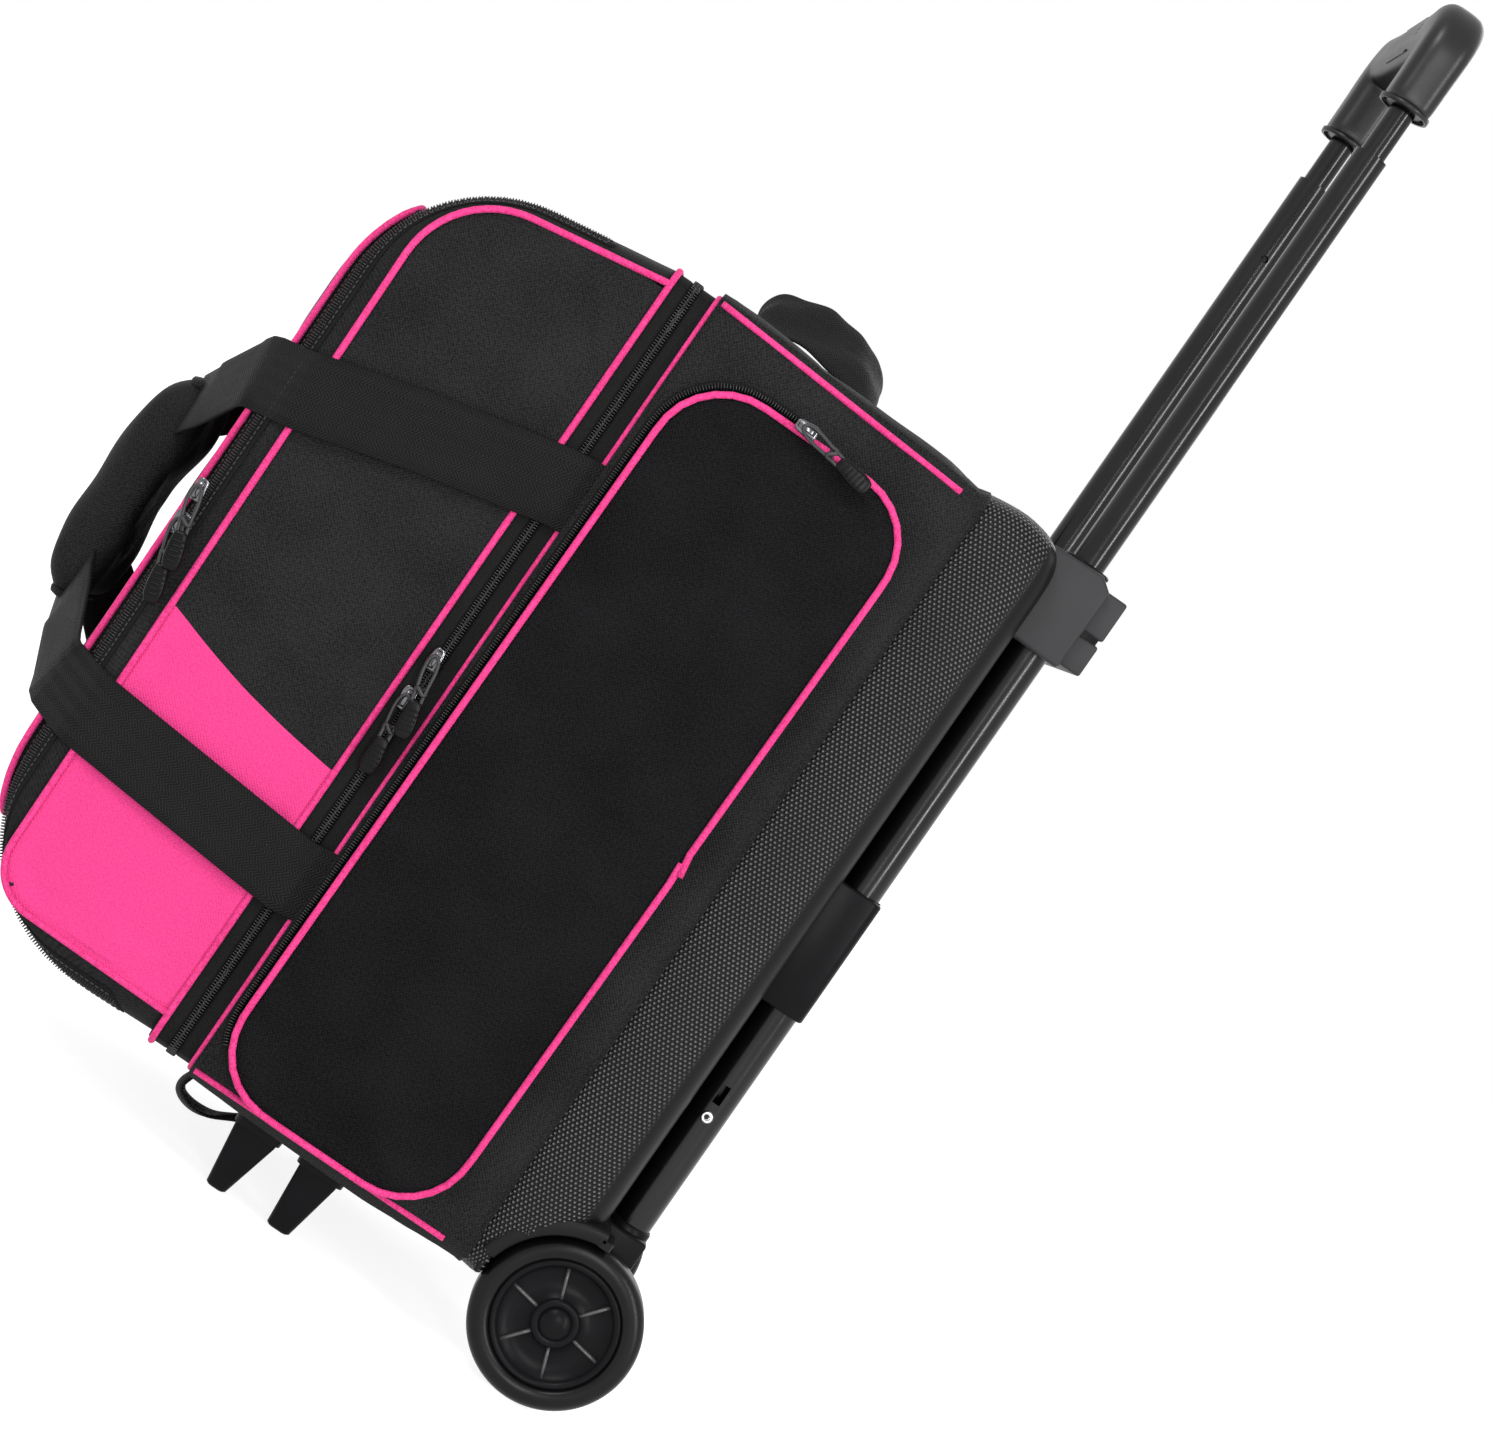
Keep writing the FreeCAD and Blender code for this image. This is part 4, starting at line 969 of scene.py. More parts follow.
def add_zip_band(name, y_from, y_to, body, node, tooth_side):
    """Zip tape round three sides with half of the coil at its edge."""
    rows = []
    for share in (0.0, 0.25, 0.75, 1.0):
        path, _ = three_sides(TAPE_OUT + 0.8 * math.sin(math.pi * share))
        rows.append(at_depth(path, y_from + (y_to - y_from) * share))
    tape = add_grid(name + "_tape", rows, "zip_tape", body=body, thick=1.0, smooth_steps=0)
    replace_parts(tape, node)
    path, ups = three_sides(TAPE_OUT + 1.2)
    add_teeth(name + "_teeth", at_depth(path, SPLIT_Y), ups, body, 3.4, tooth_side, high=1.7,
              phase=0 if tooth_side > 0 else COIL_PITCH / 2)


TAPE_OUT = 0.6


def add_main_zip():
    """Main zip: piping, tape and half the coil on the compartment, the other half on the lid."""
    path, _ = three_sides(PIPING_RADIUS * 1.1)
    cord = add_piping("mouth_piping", at_depth(path, MOUTH_Y - 0.6), up=(0, 1, 0))
    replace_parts(cord, "body_piping")
    add_zip_band("mouth_zip", MOUTH_Y + 1, SPLIT_Y + 0.8, "root", "body_zip_tape", 0.9)
    add_zip_band("lid_zip", SPLIT_Y - 0.8, LID_BACK - 1, "lid", "lid_zip_tape", -0.9)
    edge, _ = three_sides(PIPING_RADIUS)
    add_piping("lid_edge_piping", at_depth(edge, LID_BACK + 1.5), "lid", up=(0, 1, 0))


# ---------------------------------------------------------------- pocket

POCKET_LOW, POCKET_HIGH = corners("pocket_panel")
POCKET_ROUND = 37
# The pocket's edges lean with the base: this far over half the pocket's height, a little more at the back.
POCKET_LEAN = 2.6
BACK_LEAN = 0.5
SEAM_X = POCKET_LOW.x + 6.2


def pocket_loop(inset=0.0):
    """Outline of the pocket at x = 0: large rounds, leaning a little with the base."""
    low_y, high_y = POCKET_LOW.y + 5.2 + inset, POCKET_HIGH.y - 2.1 - inset
    low_z, high_z = POCKET_LOW.z + inset, POCKET_HIGH.z - 8 - inset
    loop = []
    for a, b in rounded_loop(high_y - low_y, high_z - low_z, POCKET_ROUND - inset, 8):
        z = (low_z + high_z) / 2 + b
        lean = POCKET_LEAN + BACK_LEAN * (1 if a > 0 else -1)
        loop.append(Vector((0, (low_y + high_y) / 2 + a + lean * (z - 270) / 216, z)))
    return loop


def add_pocket():
    """Puffed side pocket: gusset, domed front, zip coil along two edges and piping that laps at its ends."""
    edge = even_loop(pocket_loop(), 120)
    gusset_rows = [[Vector((x, p.y, p.z)) for p in edge]
                   for x in (NEAR_X - 0.5, NEAR_X + 5, POCKET_LOW.x + 3, POCKET_LOW.x + 6)]
    gusset = add_grid("pocket_side_band", gusset_rows, "black_fabric", closed=True, thick=1.5, smooth_steps=0)
    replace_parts(gusset, "pocket_gusset")
    rows = domed_rows(edge, POCKET_LOW.x + 5.2, 5.5, 15, 20)
    panel = add_grid("pocket_front_panel", rows, "pocket_fabric", body=None)
    bake(panel)
    planar_uv(panel)
    settle(panel, lambda p: p.x < SEAM_X, 1.2, 2.5, slack=0.003)
    ripple(panel, 1.4, 60, 11, lambda p: min(1, max(0, (p.x - SEAM_X) / 3)))
    thicken(panel, 4.0)
    bake(panel)
    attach(panel, "root")
    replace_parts(panel, "pocket_panel")
    add_pocket_piping([Vector((SEAM_X, p.y, p.z)) for p in edge])
    add_pocket_zip()


def add_pocket_piping(edge):
    """Piping round the pocket, whose two ends lap half way up the back edge."""
    joint = max((i for i, p in enumerate(edge) if p.y >= 50), key=lambda i: -abs(edge[i].z - 271))
    line = edge[joint:] + edge[:joint + 1]
    line[0] = line[0] + Vector((1.2, 2.0, -3))
    line[-1] = line[-1] + Vector((0, -0.8, 3))
    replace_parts(add_piping("pocket_edge_piping", line), "pocket_piping")


def add_pocket_zip():
    """Coil and tape outside the piping, up the front edge and over the top."""
    outer = even_loop(pocket_loop(-4.2), 200)
    begin = nearest(outer, Vector((0, POCKET_LOW.y, 70)))
    loop = outer[begin:] + outer[:begin]
    if loop[8].z < loop[0].z:
        loop = [loop[0]] + loop[:0:-1]
    end = nearest(loop, Vector((0, 40, POCKET_HIGH.z + 3)))
    chain = [Vector((NEAR_X + 7.5, p.y, p.z)) for p in loop[:end + 1]]
    add_teeth("pocket_zip_coil", chain, Vector((1, 0, 0)), "root", 3.8, high=1.8)
    sides = [side for _, _, side, _ in frames_along(chain, Vector((1, 0, 0)))]
    rows = []
    for shift, lift in ((-4.0, 1.0), (-2.6, 6.2), (0, 6.9), (2.6, 7.0)):
        rows.append([Vector((NEAR_X + lift, p.y, p.z)) - side * shift for p, side in zip(chain, sides)])
    add_grid("pocket_zip_tape", rows, "zip_tape", thick=0.8, smooth_steps=0)


def domed_rows(edge, x, dome, across, fall):
    """Rows of a domed panel inside a closed outline, each row at one height from the front to the back."""
    low, high = min(p.z for p in edge), max(p.z for p in edge)
    middle_y = (min(p.y for p in edge) + max(p.y for p in edge)) / 2
    # Rows lie closer together towards the two ends.
    heights = [low + (high - low) * (0.5 - 0.5 * math.cos(math.pi * n / 60)) * 0.5
               + (high - low) * n / 60 * 0.5 for n in range(61)]
    closed = edge + [edge[0]]
    rows = []
    for z in heights:
        z = min(max(z, low + 0.05), high - 0.05)
        cuts = []
        for a, b in zip(closed, closed[1:]):
            if (a.z - z) * (b.z - z) <= 0 and a.z != b.z:
                cuts.append(a.y + (b.y - a.y) * (z - a.z) / (b.z - a.z))
        first = min(cuts, default=middle_y)
        last = max(cuts, default=middle_y)
        row = []
        for n in range(across * 2 + 1):
            y = first + (last - first) * n / (across * 2)
            near = min(y - first, last - y, z - low, high - z)
            row.append(Vector((x + dome * (1 - math.exp(-near / fall)) / (1 - math.exp(-60 / fall)), y, z)))
        rows.append(row)
    return rows


def thicken(piece, depth):
    """Give a panel that faces sideways or forwards a thickness on its inner side."""
    average = sum((face.normal for face in piece.data.polygons), Vector())
    middle = sum((v.co for v in piece.data.vertices), Vector()) / len(piece.data.vertices)
    outward = average.dot(middle - Vector((MID_X * MM, 0, middle.z))) > 0
    add_wall(piece, depth, -1 if outward else 1)


def planar_uv(piece):
    """Weave coordinates straight from the panel's own plane, in millimetres."""
    layer = piece.data.uv_layers.get(WEAVE_UV) or piece.data.uv_layers.new(name=WEAVE_UV)
    for loop in piece.data.loops:
        place = piece.data.vertices[loop.vertex_index].co / MM
        layer.data[loop.index].uv = (place.y, place.z)


# ---------------------------------------------------------------- lid

ARC_STEPS = 12


def by_segments(path):
    """Even points on each straight stretch between the two arcs, so that two lines pair up."""
    first_end, second_start = ARC_STEPS + 1, ARC_STEPS + 2
    second_end = 2 * ARC_STEPS + 2
    first = [path[0].lerp(path[1], n / 14) for n in range(14)]
    middle = [path[first_end].lerp(path[second_start], n / 46) for n in range(1, 46)]
    last = [path[second_end].lerp(path[-1], n / 14) for n in range(1, 15)]
    return first + path[1:second_start] + middle + path[second_start:second_end + 1] + last


# The piped edge of a side panel and the wider line that the gusset reaches, as (y, z, 0).
PANEL_LINE = by_segments(rounded_path(
    [(LID_BACK + 1, 506, 0), (-167.5, 487, 0), (-162.5, 69, 0), (LID_BACK + 1, 67, 0)], [50, 26], ARC_STEPS))
GUSSET_LINE = by_segments(rounded_path(
    [(LID_BACK + 1, 513, 0), (-185.5, 493, 0), (-184, 48, 0), (LID_BACK + 1, 53, 0)], [82, 92], ARC_STEPS))
EDGE_DEPTH = 15


def lid_edge(share, side=1, out=0.0):
    """Line round the lid between its piped edge (0) and the gusset's full width (1)."""
    turn = share * math.pi / 2
    x = MID_X + side * (HALF + 1.0 - EDGE_DEPTH * (1 - math.cos(turn)) + out * math.cos(turn))
    line = []
    for p, q in zip(PANEL_LINE, GUSSET_LINE):
        place = p.lerp(q, math.sin(turn))
        push = (q - p).normalized() * out * math.sin(turn)
        line.append(Vector((x, place.x + push.x, place.y + push.y)))
    return line


def add_lid():
    """Shoe compartment: two domed side panels with piping, the gusset between them, and the floor board."""
    for word, side in (("near", 1), ("far", -1)):
        panel = add_grid(f"lid_{word}_panel", side_panel_grid(side), "lid_side_fabric", body=None,
                         flip=side < 0)
        bake(panel)
        planar_uv(panel)
        sewn = sewn_line(lid_edge(0, side), 5)
        settle(panel, sewn, 1.6, 3.0, slack=0.004)
        ripple(panel, 1.2, 55, 5 + side, lambda p: 0.0 if sewn(p) else 1.0)
        thicken(panel, 4.0)
        bake(panel)
        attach(panel, "lid")
        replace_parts(panel, f"lid_{word}_side")
        add_piping(f"lid_{word}_piping", lid_edge(0, side, 0.8), "lid")
    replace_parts(bpy.data.objects["lid_near_piping"], "lid_piping")
    add_lid_gusset()
    add_lid_floor()


def add_lid_gusset():
    """Band that rounds over from each side panel and swells between them, open behind the flap."""
    shares = [0.0, 0.12, 0.28, 0.46, 0.64, 0.82, 1.0]
    rows = [lid_edge(s, 1) for s in shares]
    near_x = rows[-1][0].x
    far_x = lid_edge(1.0, -1)[0].x
    for n in range(1, 20):
        x = near_x + (far_x - near_x) * n / 20
        swell = 4.0 * math.sin(math.pi * n / 20) ** 0.5
        row = []
        for p, q in zip(PANEL_LINE, GUSSET_LINE):
            push = (q - p).normalized() * swell
            row.append(Vector((x, q.x + push.x * 0.3, q.y + push.y)))
        rows.append(row)
    rows += [lid_edge(s, -1) for s in reversed(shares)]

    def wall(p):
        inside = abs(p.x - MID_X) < FLAP_X
        return not (inside and p.y < LID_FRONT + 70 and FLAP_LOW.z - 2 < p.z < FLAP_HIGH.z + 2)
    gusset = add_grid("lid_gusset_band", rows, "black_fabric", body=None, keep=wall, flip=True, smooth_steps=0)
    ripple(gusset, 1.0, 34, 21, lambda p: 1.0 if abs(p.x - MID_X) < HALF - 20 else 0.2)
    add_wall(gusset, 4)
    bake(gusset)
    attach(gusset, "lid")
    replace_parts(gusset, "lid_top_end", "lid_bottom_end")


def sewn_line(line, reach):
    """Test of whether a point is within reach of a sewn line, or at the lid's mouth."""
    tree = KDTree(len(line))
    for i, p in enumerate(line):
        tree.insert(p, i)
    tree.balance()
    return lambda p: tree.find(p)[2] < reach or p.y > LID_BACK - 3


def side_panel_grid(side):
    """Rows of a side panel from top to bottom; each row runs from the sewn front edge to the mouth."""
    rows = []
    for p in lid_edge(0, side)[4:-4]:
        back = Vector((p.x, LID_BACK + 1, p.z))
        row = []
        for n in range(22):
            share = n / 21
            q = p.lerp(back, share)
            height = min((q.z - LID_LOW) / 30, (LID_HIGH - q.z) / 30, 1.0)
            dome = 3.6 * max(0.0, 1 - math.exp(-(q.y - p.y) / 14)) * max(height, 0) * (1 - 0.8 * share ** 6)
            row.append(q + Vector((side * dome, 0, 0)))
        rows.append(row)
    return rows


# Foam rings: radii, height, and how far each ball's middle is from the divider.
CUP_BORE = 62.5
CUP_OUTER = 82.5
CUP_HEIGHT = 20
BALL_APART = 114


def box_loop(a, b, width, height, radius, steps):
    """Rounded rectangle about (a, b)."""
    return [(a + u, b + v) for u, v in rounded_loop(width, height, radius, steps)]


def add_cradle():
    """Foam cradle: two rounded rings that seat the balls, a soft divider and the board under them."""
    low, high = corners("ball_cradle")
    floor_y = high.y - 2
    profile = [(0, CUP_BORE), (-14, CUP_BORE), (-16.5, CUP_BORE + 1.2), (-18.8, CUP_BORE + 4),
               (-CUP_HEIGHT, CUP_BORE + 8), (-CUP_HEIGHT, CUP_OUTER - 7), (-19.2, CUP_OUTER - 3.4),
               (-17, CUP_OUTER - 1), (-14, CUP_OUTER), (0, CUP_OUTER), (0, CUP_BORE)]
    rings = []
    for side in (1, -1):
        centre = Vector((MID_X, floor_y, MIDDLE_Z + side * BALL_APART))
        rings.append(add_lathe(f"foam_ring_{side}", profile, "foam", None, centre, "y", 72))
    rings = join("foam_ball_rings", rings)
    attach(rings, "root")
    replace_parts(rings, "ball_cradle")
    outline = box_loop(MID_X, (low.y + floor_y) / 2, 200, floor_y - low.y, 20, 6)
    divider = add_moulding("ball_divider_pad", outline, "z", MIDDLE_Z - 3, MIDDLE_Z + 3, "foam", "root", 2.6)
    outline = box_loop(MID_X, (low.z + high.z) / 2, high.x - low.x, high.z - low.z, 12, 5)
    board = add_moulding("cradle_board", outline, "y", floor_y, high.y, "lining", "root", 0.6)


def add_lid_floor():
    """Lined board that divides the shoe compartment from the balls."""
    low, high = corners("lid_floor")
    rows = []
    for j in range(31):
        z = low.z + 3 + (high.z - low.z - 6) * j / 30
        row = []
        for i in range(17):
            x = low.x + 2 + (high.x - low.x - 4) * i / 16
            puff = 1.5 * math.sin(math.pi * i / 16) ** 0.4 * math.sin(math.pi * j / 30) ** 0.4
            row.append(Vector((x, low.y + 2.5 + puff, z)))
        rows.append(row)
    board = add_grid("lid_floor_board", rows, "lining", body="lid", thick=3.0, smooth_steps=0)
    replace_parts(board, "lid_floor")


# ---------------------------------------------------------------- flap

FLAP_STAND = 1.5


def flap_profile(z):
    """How far the flap stands out at a height: it bends back a little with the lid's corners."""
    for a, b in zip(GUSSET_LINE, GUSSET_LINE[1:]):
        if (a.y - z) * (b.y - z) <= 0 and a.y != b.y:
            return a.x + (b.x - a.x) * (z - a.y) / (b.y - a.y) - FLAP_STAND
    return LID_FRONT


def add_flap():
    """Puffed front flap of the shoe compartment with piping all round."""
    low_z, high_z = FLAP_LOW.z + 1, FLAP_HIGH.z - 1
    rows = []
    for j in range(37):
        z = low_z + (high_z - low_z) * j / 36
        row = []
        for i in range(27):
            x = MID_X + FLAP_X * (i / 13 - 1)
            edge_x = max(0.0, 1 - (abs(x - MID_X) / FLAP_X) ** 6)
            edge_z = max(0.0, 1 - abs(2 * j / 36 - 1) ** 10)
            row.append(Vector((x, flap_profile(z) - 1.5 - 5.0 * edge_x ** 0.7 * edge_z ** 0.7, z)))
        rows.append(row)
    panel = add_grid("flap_front_panel", rows, "black_fabric", body=None)

    def sewn(p):
        return abs(p.x - MID_X) > FLAP_X - 5 or p.z < low_z + 5 or p.z > high_z - 5
    settle(panel, sewn, 1.4, 3.0, slack=0.004)
    bake(panel)
    ripple(panel, 0.8, 40, 31, lambda p: 0.0 if sewn(p) else 1.0)
    add_wall(panel, 5, -1 if panel.data.polygons[400].normal.y < 0 else 1)
    bake(panel)
    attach(panel, "flap")
    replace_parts(panel, "flap_panel")
    loop = box_loop(MID_X, (low_z + high_z) / 2, 2 * FLAP_X + 2, high_z - low_z + 2, 12, 6)
    line = even_loop([Vector((x, 0, z)) for x, z in loop], 260)
    path = [Vector((p.x, flap_profile(p.z) - 2.2, p.z)) for p in line]
    cord = add_piping("flap_edge_piping", path, "flap", closed=True, up=(0, 1, 0))
    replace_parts(cord, "flap_piping")


def add_top_zip():
    """Zip of the shoe compartment: tape, coil and two rows of stitches between the lid's piping and the flap."""
    chain = lid_edge(0.60, 1, 0.6)[8:-8]
    ups = []
    for p, q in zip(PANEL_LINE[8:-8], GUSSET_LINE[8:-8]):
        push = (q - p).normalized() * 0.65
        ups.append(Vector((0.75, push.x, push.y)).normalized())
    add_teeth("top_zip_coil", chain, ups, "lid", 4.2, high=1.9)
    rows = [lid_edge(share, 1, out)[7:-7]
            for share, out in ((0.34, 0.2), (0.36, 0.7), (0.60, 0.7), (0.84, 0.7), (0.86, 0.2))]
    add_grid("top_zip_tape", rows, "zip_tape", body="lid", flip=True, thick=0.6, smooth_steps=0)
    for share in (0.44, 0.78):
        line = lid_edge(share, 1, 1.0)[8:-8]
        add_stitches(f"top_zip_stitches_{int(share * 100)}", line, Vector((1, 0, 0)), "lid", 3.0)


# ---------------------------------------------------------------- carry straps and wrap

WEBBING = 40
STRAP_X = corners("near_strap")[1].x
WRAP_LOW, WRAP_HIGH = corners("handle_wrap")
WRAP_Y = (WRAP_LOW.y + WRAP_HIGH.y) / 2 + 3
LEGS = {
    # leg: (height at the root, at the lid's front edge, inside the wrap)
    "upper": (394, 360, 316),
    "lower": (160, 170, 216),
}


def add_strap(name, line):
    """Webbing along a line that runs across the height of the bag, its width kept upright."""
    ups = []
    for i in range(len(line)):
        direction = (line[min(i + 1, len(line) - 1)] - line[max(i - 1, 0)]).normalized()
        upright = (Vector((0, 0, 1)) - direction * direction.z).normalized()
        ups.append(upright.cross(direction))
    return add_sweep(name, line, strap_section(WEBBING, 1.8), "webbing", None, ups)


def front_route(side, front_z, wrap_z, wrap_y):
    """Last three bends of a strap: round the lid's corner, towards the wrap, and into it."""
    toward = wrap_z - front_z
    return [Vector((MID_X + side * (HALF - 16), LID_FRONT - 3, front_z + 0.10 * toward)),
            Vector((MID_X + side * 62, WRAP_Y + 10, front_z + 0.75 * toward)),
            Vector((MID_X + side * 20, wrap_y, wrap_z))]


def add_straps():
    """Two carry straps; each has two legs, and both go through the padded wrap."""
    far_x = FAR_X - 2.2
    x = STRAP_X - 1.0
    for leg, (root_z, front_z, wrap_z) in LEGS.items():
        half_z = (root_z + front_z) / 2
        route = [Vector((x - 1.5, MOUTH_Y + 6, root_z + 1)), Vector((x, SPLIT_Y, root_z - 1)),
                 Vector((x + 1, -110, half_z)), Vector((x - 1, LID_FRONT + 22, front_z))]
        route += front_route(1, front_z, wrap_z, WRAP_Y)
        near = add_strap(f"near_{leg}_strap", resample(rounded_path(route, [20, 200, 18, 16, 24], 8), 5.0))
        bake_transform(near)
        route = [Vector((far_x, LID_BACK - 6, root_z)), Vector((far_x - 1, -120, half_z)),
                 Vector((far_x + 1, LID_FRONT + 22, front_z))]
        route += front_route(-1, front_z, wrap_z, WRAP_Y + 3)
        far = add_strap(f"far_{leg}_strap", resample(rounded_path(route, [200, 18, 16, 24], 8), 5.0))
        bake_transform(far)
        if leg == "upper":
            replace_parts(near, "near_strap", "near_strap_ends")
            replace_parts(far, "far_strap_lower", "far_strap_upper")


def add_wrap():
    """Padded wrap folded round both straps: a cushion that is thicker at its middle, with a bound edge."""
    centre = (WRAP_LOW + WRAP_HIGH) / 2
    half_x = (WRAP_HIGH.x - WRAP_LOW.x) / 2
    half_z = (WRAP_HIGH.z - WRAP_LOW.z) / 2
    half_y, end_y = 15.0, 5.0
    rows = []
    for j in range(25):
        t = -1 + j / 12
        end = max(0.0, 1 - abs(t) ** 5)
        wide = half_x * (0.84 + 0.16 * end ** 0.5)
        deep = end_y + (half_y - end_y) * end ** 0.5
        row = []
        outline = [Vector((a, b, 0)) for a, b in rounded_loop(2 * wide, 2 * deep, deep * 0.8, 5)]
        for p in even_loop(outline, 40):
            bow = 0.0028 * p.x ** 2 - 4.0 * (1 - t * t)
            row.append(Vector((centre.x + p.x, WRAP_Y + bow + p.y, centre.z + half_z * t)))
        rows.append(row)
    wrap = add_grid("handle_wrap_pad", rows, "black_fabric", body=None, closed=True)
    settle(wrap, lambda p: p.z < WRAP_LOW.z + 6 or p.z > WRAP_HIGH.z - 6, 1.5, 3.0, slack=0.01)
    bake(wrap)
    ripple(wrap, 1.3, 26, 41)
    add_wall(wrap, 3)
    bake(wrap)
    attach(wrap, "strap_loop")
    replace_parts(wrap, "handle_wrap")
    for word, row in (("bottom", rows[0]), ("top", rows[-1])):
        add_sweep(f"wrap_{word}_binding", row, ring_section(2.2, 8), "binding", "strap_loop",
                  (0, 0, 1), closed=True)


def add_grab_straps():
    """Crumpled webbing loops on the two ends, leaning towards the near side."""
    top = [(-4, BODY_HIGH + 3), (-9, 523), (-4, 532), (10, 537), (28, 539), (46, 538), (60, 533), (70, 523),
           (69, BODY_HIGH)]
    bottom = [(-6, BODY_LOW - 1), (-17, 34), (-26, 24), (-28, 15), (-20, 10.5), (-8, 11), (3, 17), (16, 27),
              (32, 32), (46, 30), (58, 34), (60, BODY_LOW - 1)]
    for word, points, tilt in (("top", top, -44), ("bottom", bottom, 10)):
        line = smooth_line([Vector((MID_X, y, z)) for y, z in points], 6)
        strap = add_ribbon(f"{word}_grab_webbing", line, math.radians(tilt))
        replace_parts(strap, f"{word}_grab_strap")


def smooth_line(points, steps):
    """Catmull-Rom curve through points."""
    result = []
    for i in range(len(points) - 1):
        a = points[max(i - 1, 0)]
        b, c = points[i], points[i + 1]
        d = points[min(i + 2, len(points) - 1)]
        for n in range(steps):
            t = n / steps
            result.append(0.5 * ((2 * b) + (c - a) * t + (2 * a - 5 * b + 4 * c - d) * t ** 2
                                 + (3 * b - a - 3 * c + d) * t ** 3))
    return result + [points[-1]]


CURL = 4.0


def add_ribbon(name, line, tilt):
    """Webbing across X along a line in (y, z), tilted in its middle, with curled and rippled edges."""
    rows = []
    for i, (place, direction, _, _) in enumerate(frames_along(line, (1, 0, 0))):
        normal = Vector((0, -direction.z, direction.y))
        share = i / (len(line) - 1)
        loose = math.sin(math.pi * share) ** 0.6
        lean = tilt * loose
        row = []
        for n in range(13):
            a = n / 6 - 1
            cup = CURL * loose * (a * a - 0.3) * math.sin(6.0 * share + 0.6)
            crease = 2.4 * noise.noise(place / 15 + Vector((a, 0, 0)))
            wave = loose * (1.3 * math.sin(4.2 * a + 9 * share) + crease)
            across = Vector((math.cos(lean), 0, math.sin(lean)))
            row.append(place + across * (a * WEBBING / 2) + normal * (cup + wave))
        rows.append(row)
    return add_grid(name, rows, "webbing", thick=2.0)


# ---------------------------------------------------------------- hinges of fabric on the far side

def add_fabric_hinges():
    """Fabric that joins the compartment to the lid, and the lid to the flap, along the far side."""
    depths = (MOUTH_Y + 6, MOUTH_Y, MOUTH_Y - 5, SPLIT_Y + 2, SPLIT_Y - 2, LID_BACK + 4, LID_BACK - 2, LID_BACK - 8)
    rows = [[Vector((FAR_X - 1.0, y, SIDE_LOW + 6 + (SIDE_TOP - SIDE_LOW - 12) * n / 46)) for n in range(47)]
            for y in depths]
    hinge = add_grid("main_fabric_hinge", rows, "black_fabric", body=None, thick=1.6, smooth_steps=0)
    bake(hinge)
    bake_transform(hinge)
    rows = []
    for n in range(9):
        turn = math.radians(-10 + 110 * n / 8)
        x = FAR_X + 10 - 10 * math.cos(turn)
        y = LID_FRONT + 8 - 10.5 * math.sin(turn)
        rows.append([Vector((x, y, FLAP_LOW.z + 14 + (FLAP_HIGH.z - FLAP_LOW.z - 28) * k / 40))
                     for k in range(41)])
    fold = add_grid("flap_fabric_hinge", rows, "black_fabric", body=None, thick=1.4, smooth_steps=0)
    bake(fold)
    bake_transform(fold)


# ---------------------------------------------------------------- wheels and feet

RIB_TURN = math.radians(50)


def add_wheel(name, side):
    """Tyre with bead and flat tread, rim with a recessed web, six raised ribs, a hub ring and a domed cap."""
    low, high = corners(f"{name}_tyre")
    centre = Vector(((low.x + high.x) / 2, AXLE_Y, AXLE_Z))
    half = (high.x - low.x) / 2
    body = f"{name}_wheel"
    tread = WHEEL_RADIUS - 0.1
    shoulder = [(2, 33.5), (0.4, 35), (0, 38), (0.5, 41), (2.2, tread - 1.6), (4.6, tread - 0.3), (6, tread)]
    profile = [(-half + a, r) for a, r in shoulder] + [(half - a, r) for a, r in reversed(shoulder)]
    profile.append(profile[0])
    tyre = add_lathe(f"{name}_wheel_tyre", [(a * side, r) for a, r in profile], "tyre", body, centre, steps=96)
    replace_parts(tyre, f"{name}_tyre")
    face = half - 2.2
    web = half - 7
    pieces = []
    profile = [(-half + 3, 33.6), (-half + 2, 32), (-half + 3, 29), (0, 28.5), (0, 14), (-half + 3, 12),
               (-half + 2.4, 10), (-half + 2.4, 4.1), (web, 4.1), (web + 3.4, 9.5), (web + 3.4, 11.4),
               (web + 2.6, 12.4), (web, 13.2), (web, 28.0), (face - 1.2, 29.6), (face, 31), (face + 0.2, 32.2),
               (face - 0.8, 33.6), (-half + 3, 33.6)]
    pieces.append(add_lathe(f"{name}_wheel_rim", [(a * side, r) for a, r in profile], "rim_plastic", None, centre,
                            steps=96))
    # The ribs are coloured lighter than the rim: a painted highlight.
    for k in range(6):
        turn = RIB_TURN + k * math.pi / 3
        radial = Vector((0, math.cos(turn), math.sin(turn)))
        path = [centre + Vector((side * (web + 0.7), 0, 0)) + radial * r for r in (12.5, 17, 22, 28.8)]
        section = [(-1.1, -1.4), (-0.75, 0.9), (0, 1.2), (0.75, 0.9), (1.1, -1.4)]
        pieces.append(add_sweep(f"{name}_rib_{k}", path, section, "rib_plastic_painted_highlight", None, up=(side, 0, 0)))
    cap = [(1.0, 8.8), (3.8, 8.4), (4.8, 7.2), (6.2, 5.0), (6.7, 2.4), (6.8, 0)]
    cap = [((web + a) * side, r) for a, r in cap]
    pieces.append(add_lathe(f"{name}_hub_cap", cap, "rim_plastic", None, centre, steps=48))
    rim = join(f"{name}_wheel_rim", pieces)
    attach(rim, body)
    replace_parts(rim, f"{name}_rim")


# Stand feet: height of the tips, and where each foot's root and tip begin and end along Y.
FOOT_TIP = 0.4
FEET = {"front": ((6, 31), (11, 22)), "back": ((45, 68), (48, 61))}


def foot_row(x, y, z, length, width, radius, steps):
    """Rounded rectangle at one height of a foot."""
    return [Vector((x + b, y + a, z)) for a, b in rounded_loop(length, width, radius, steps)]


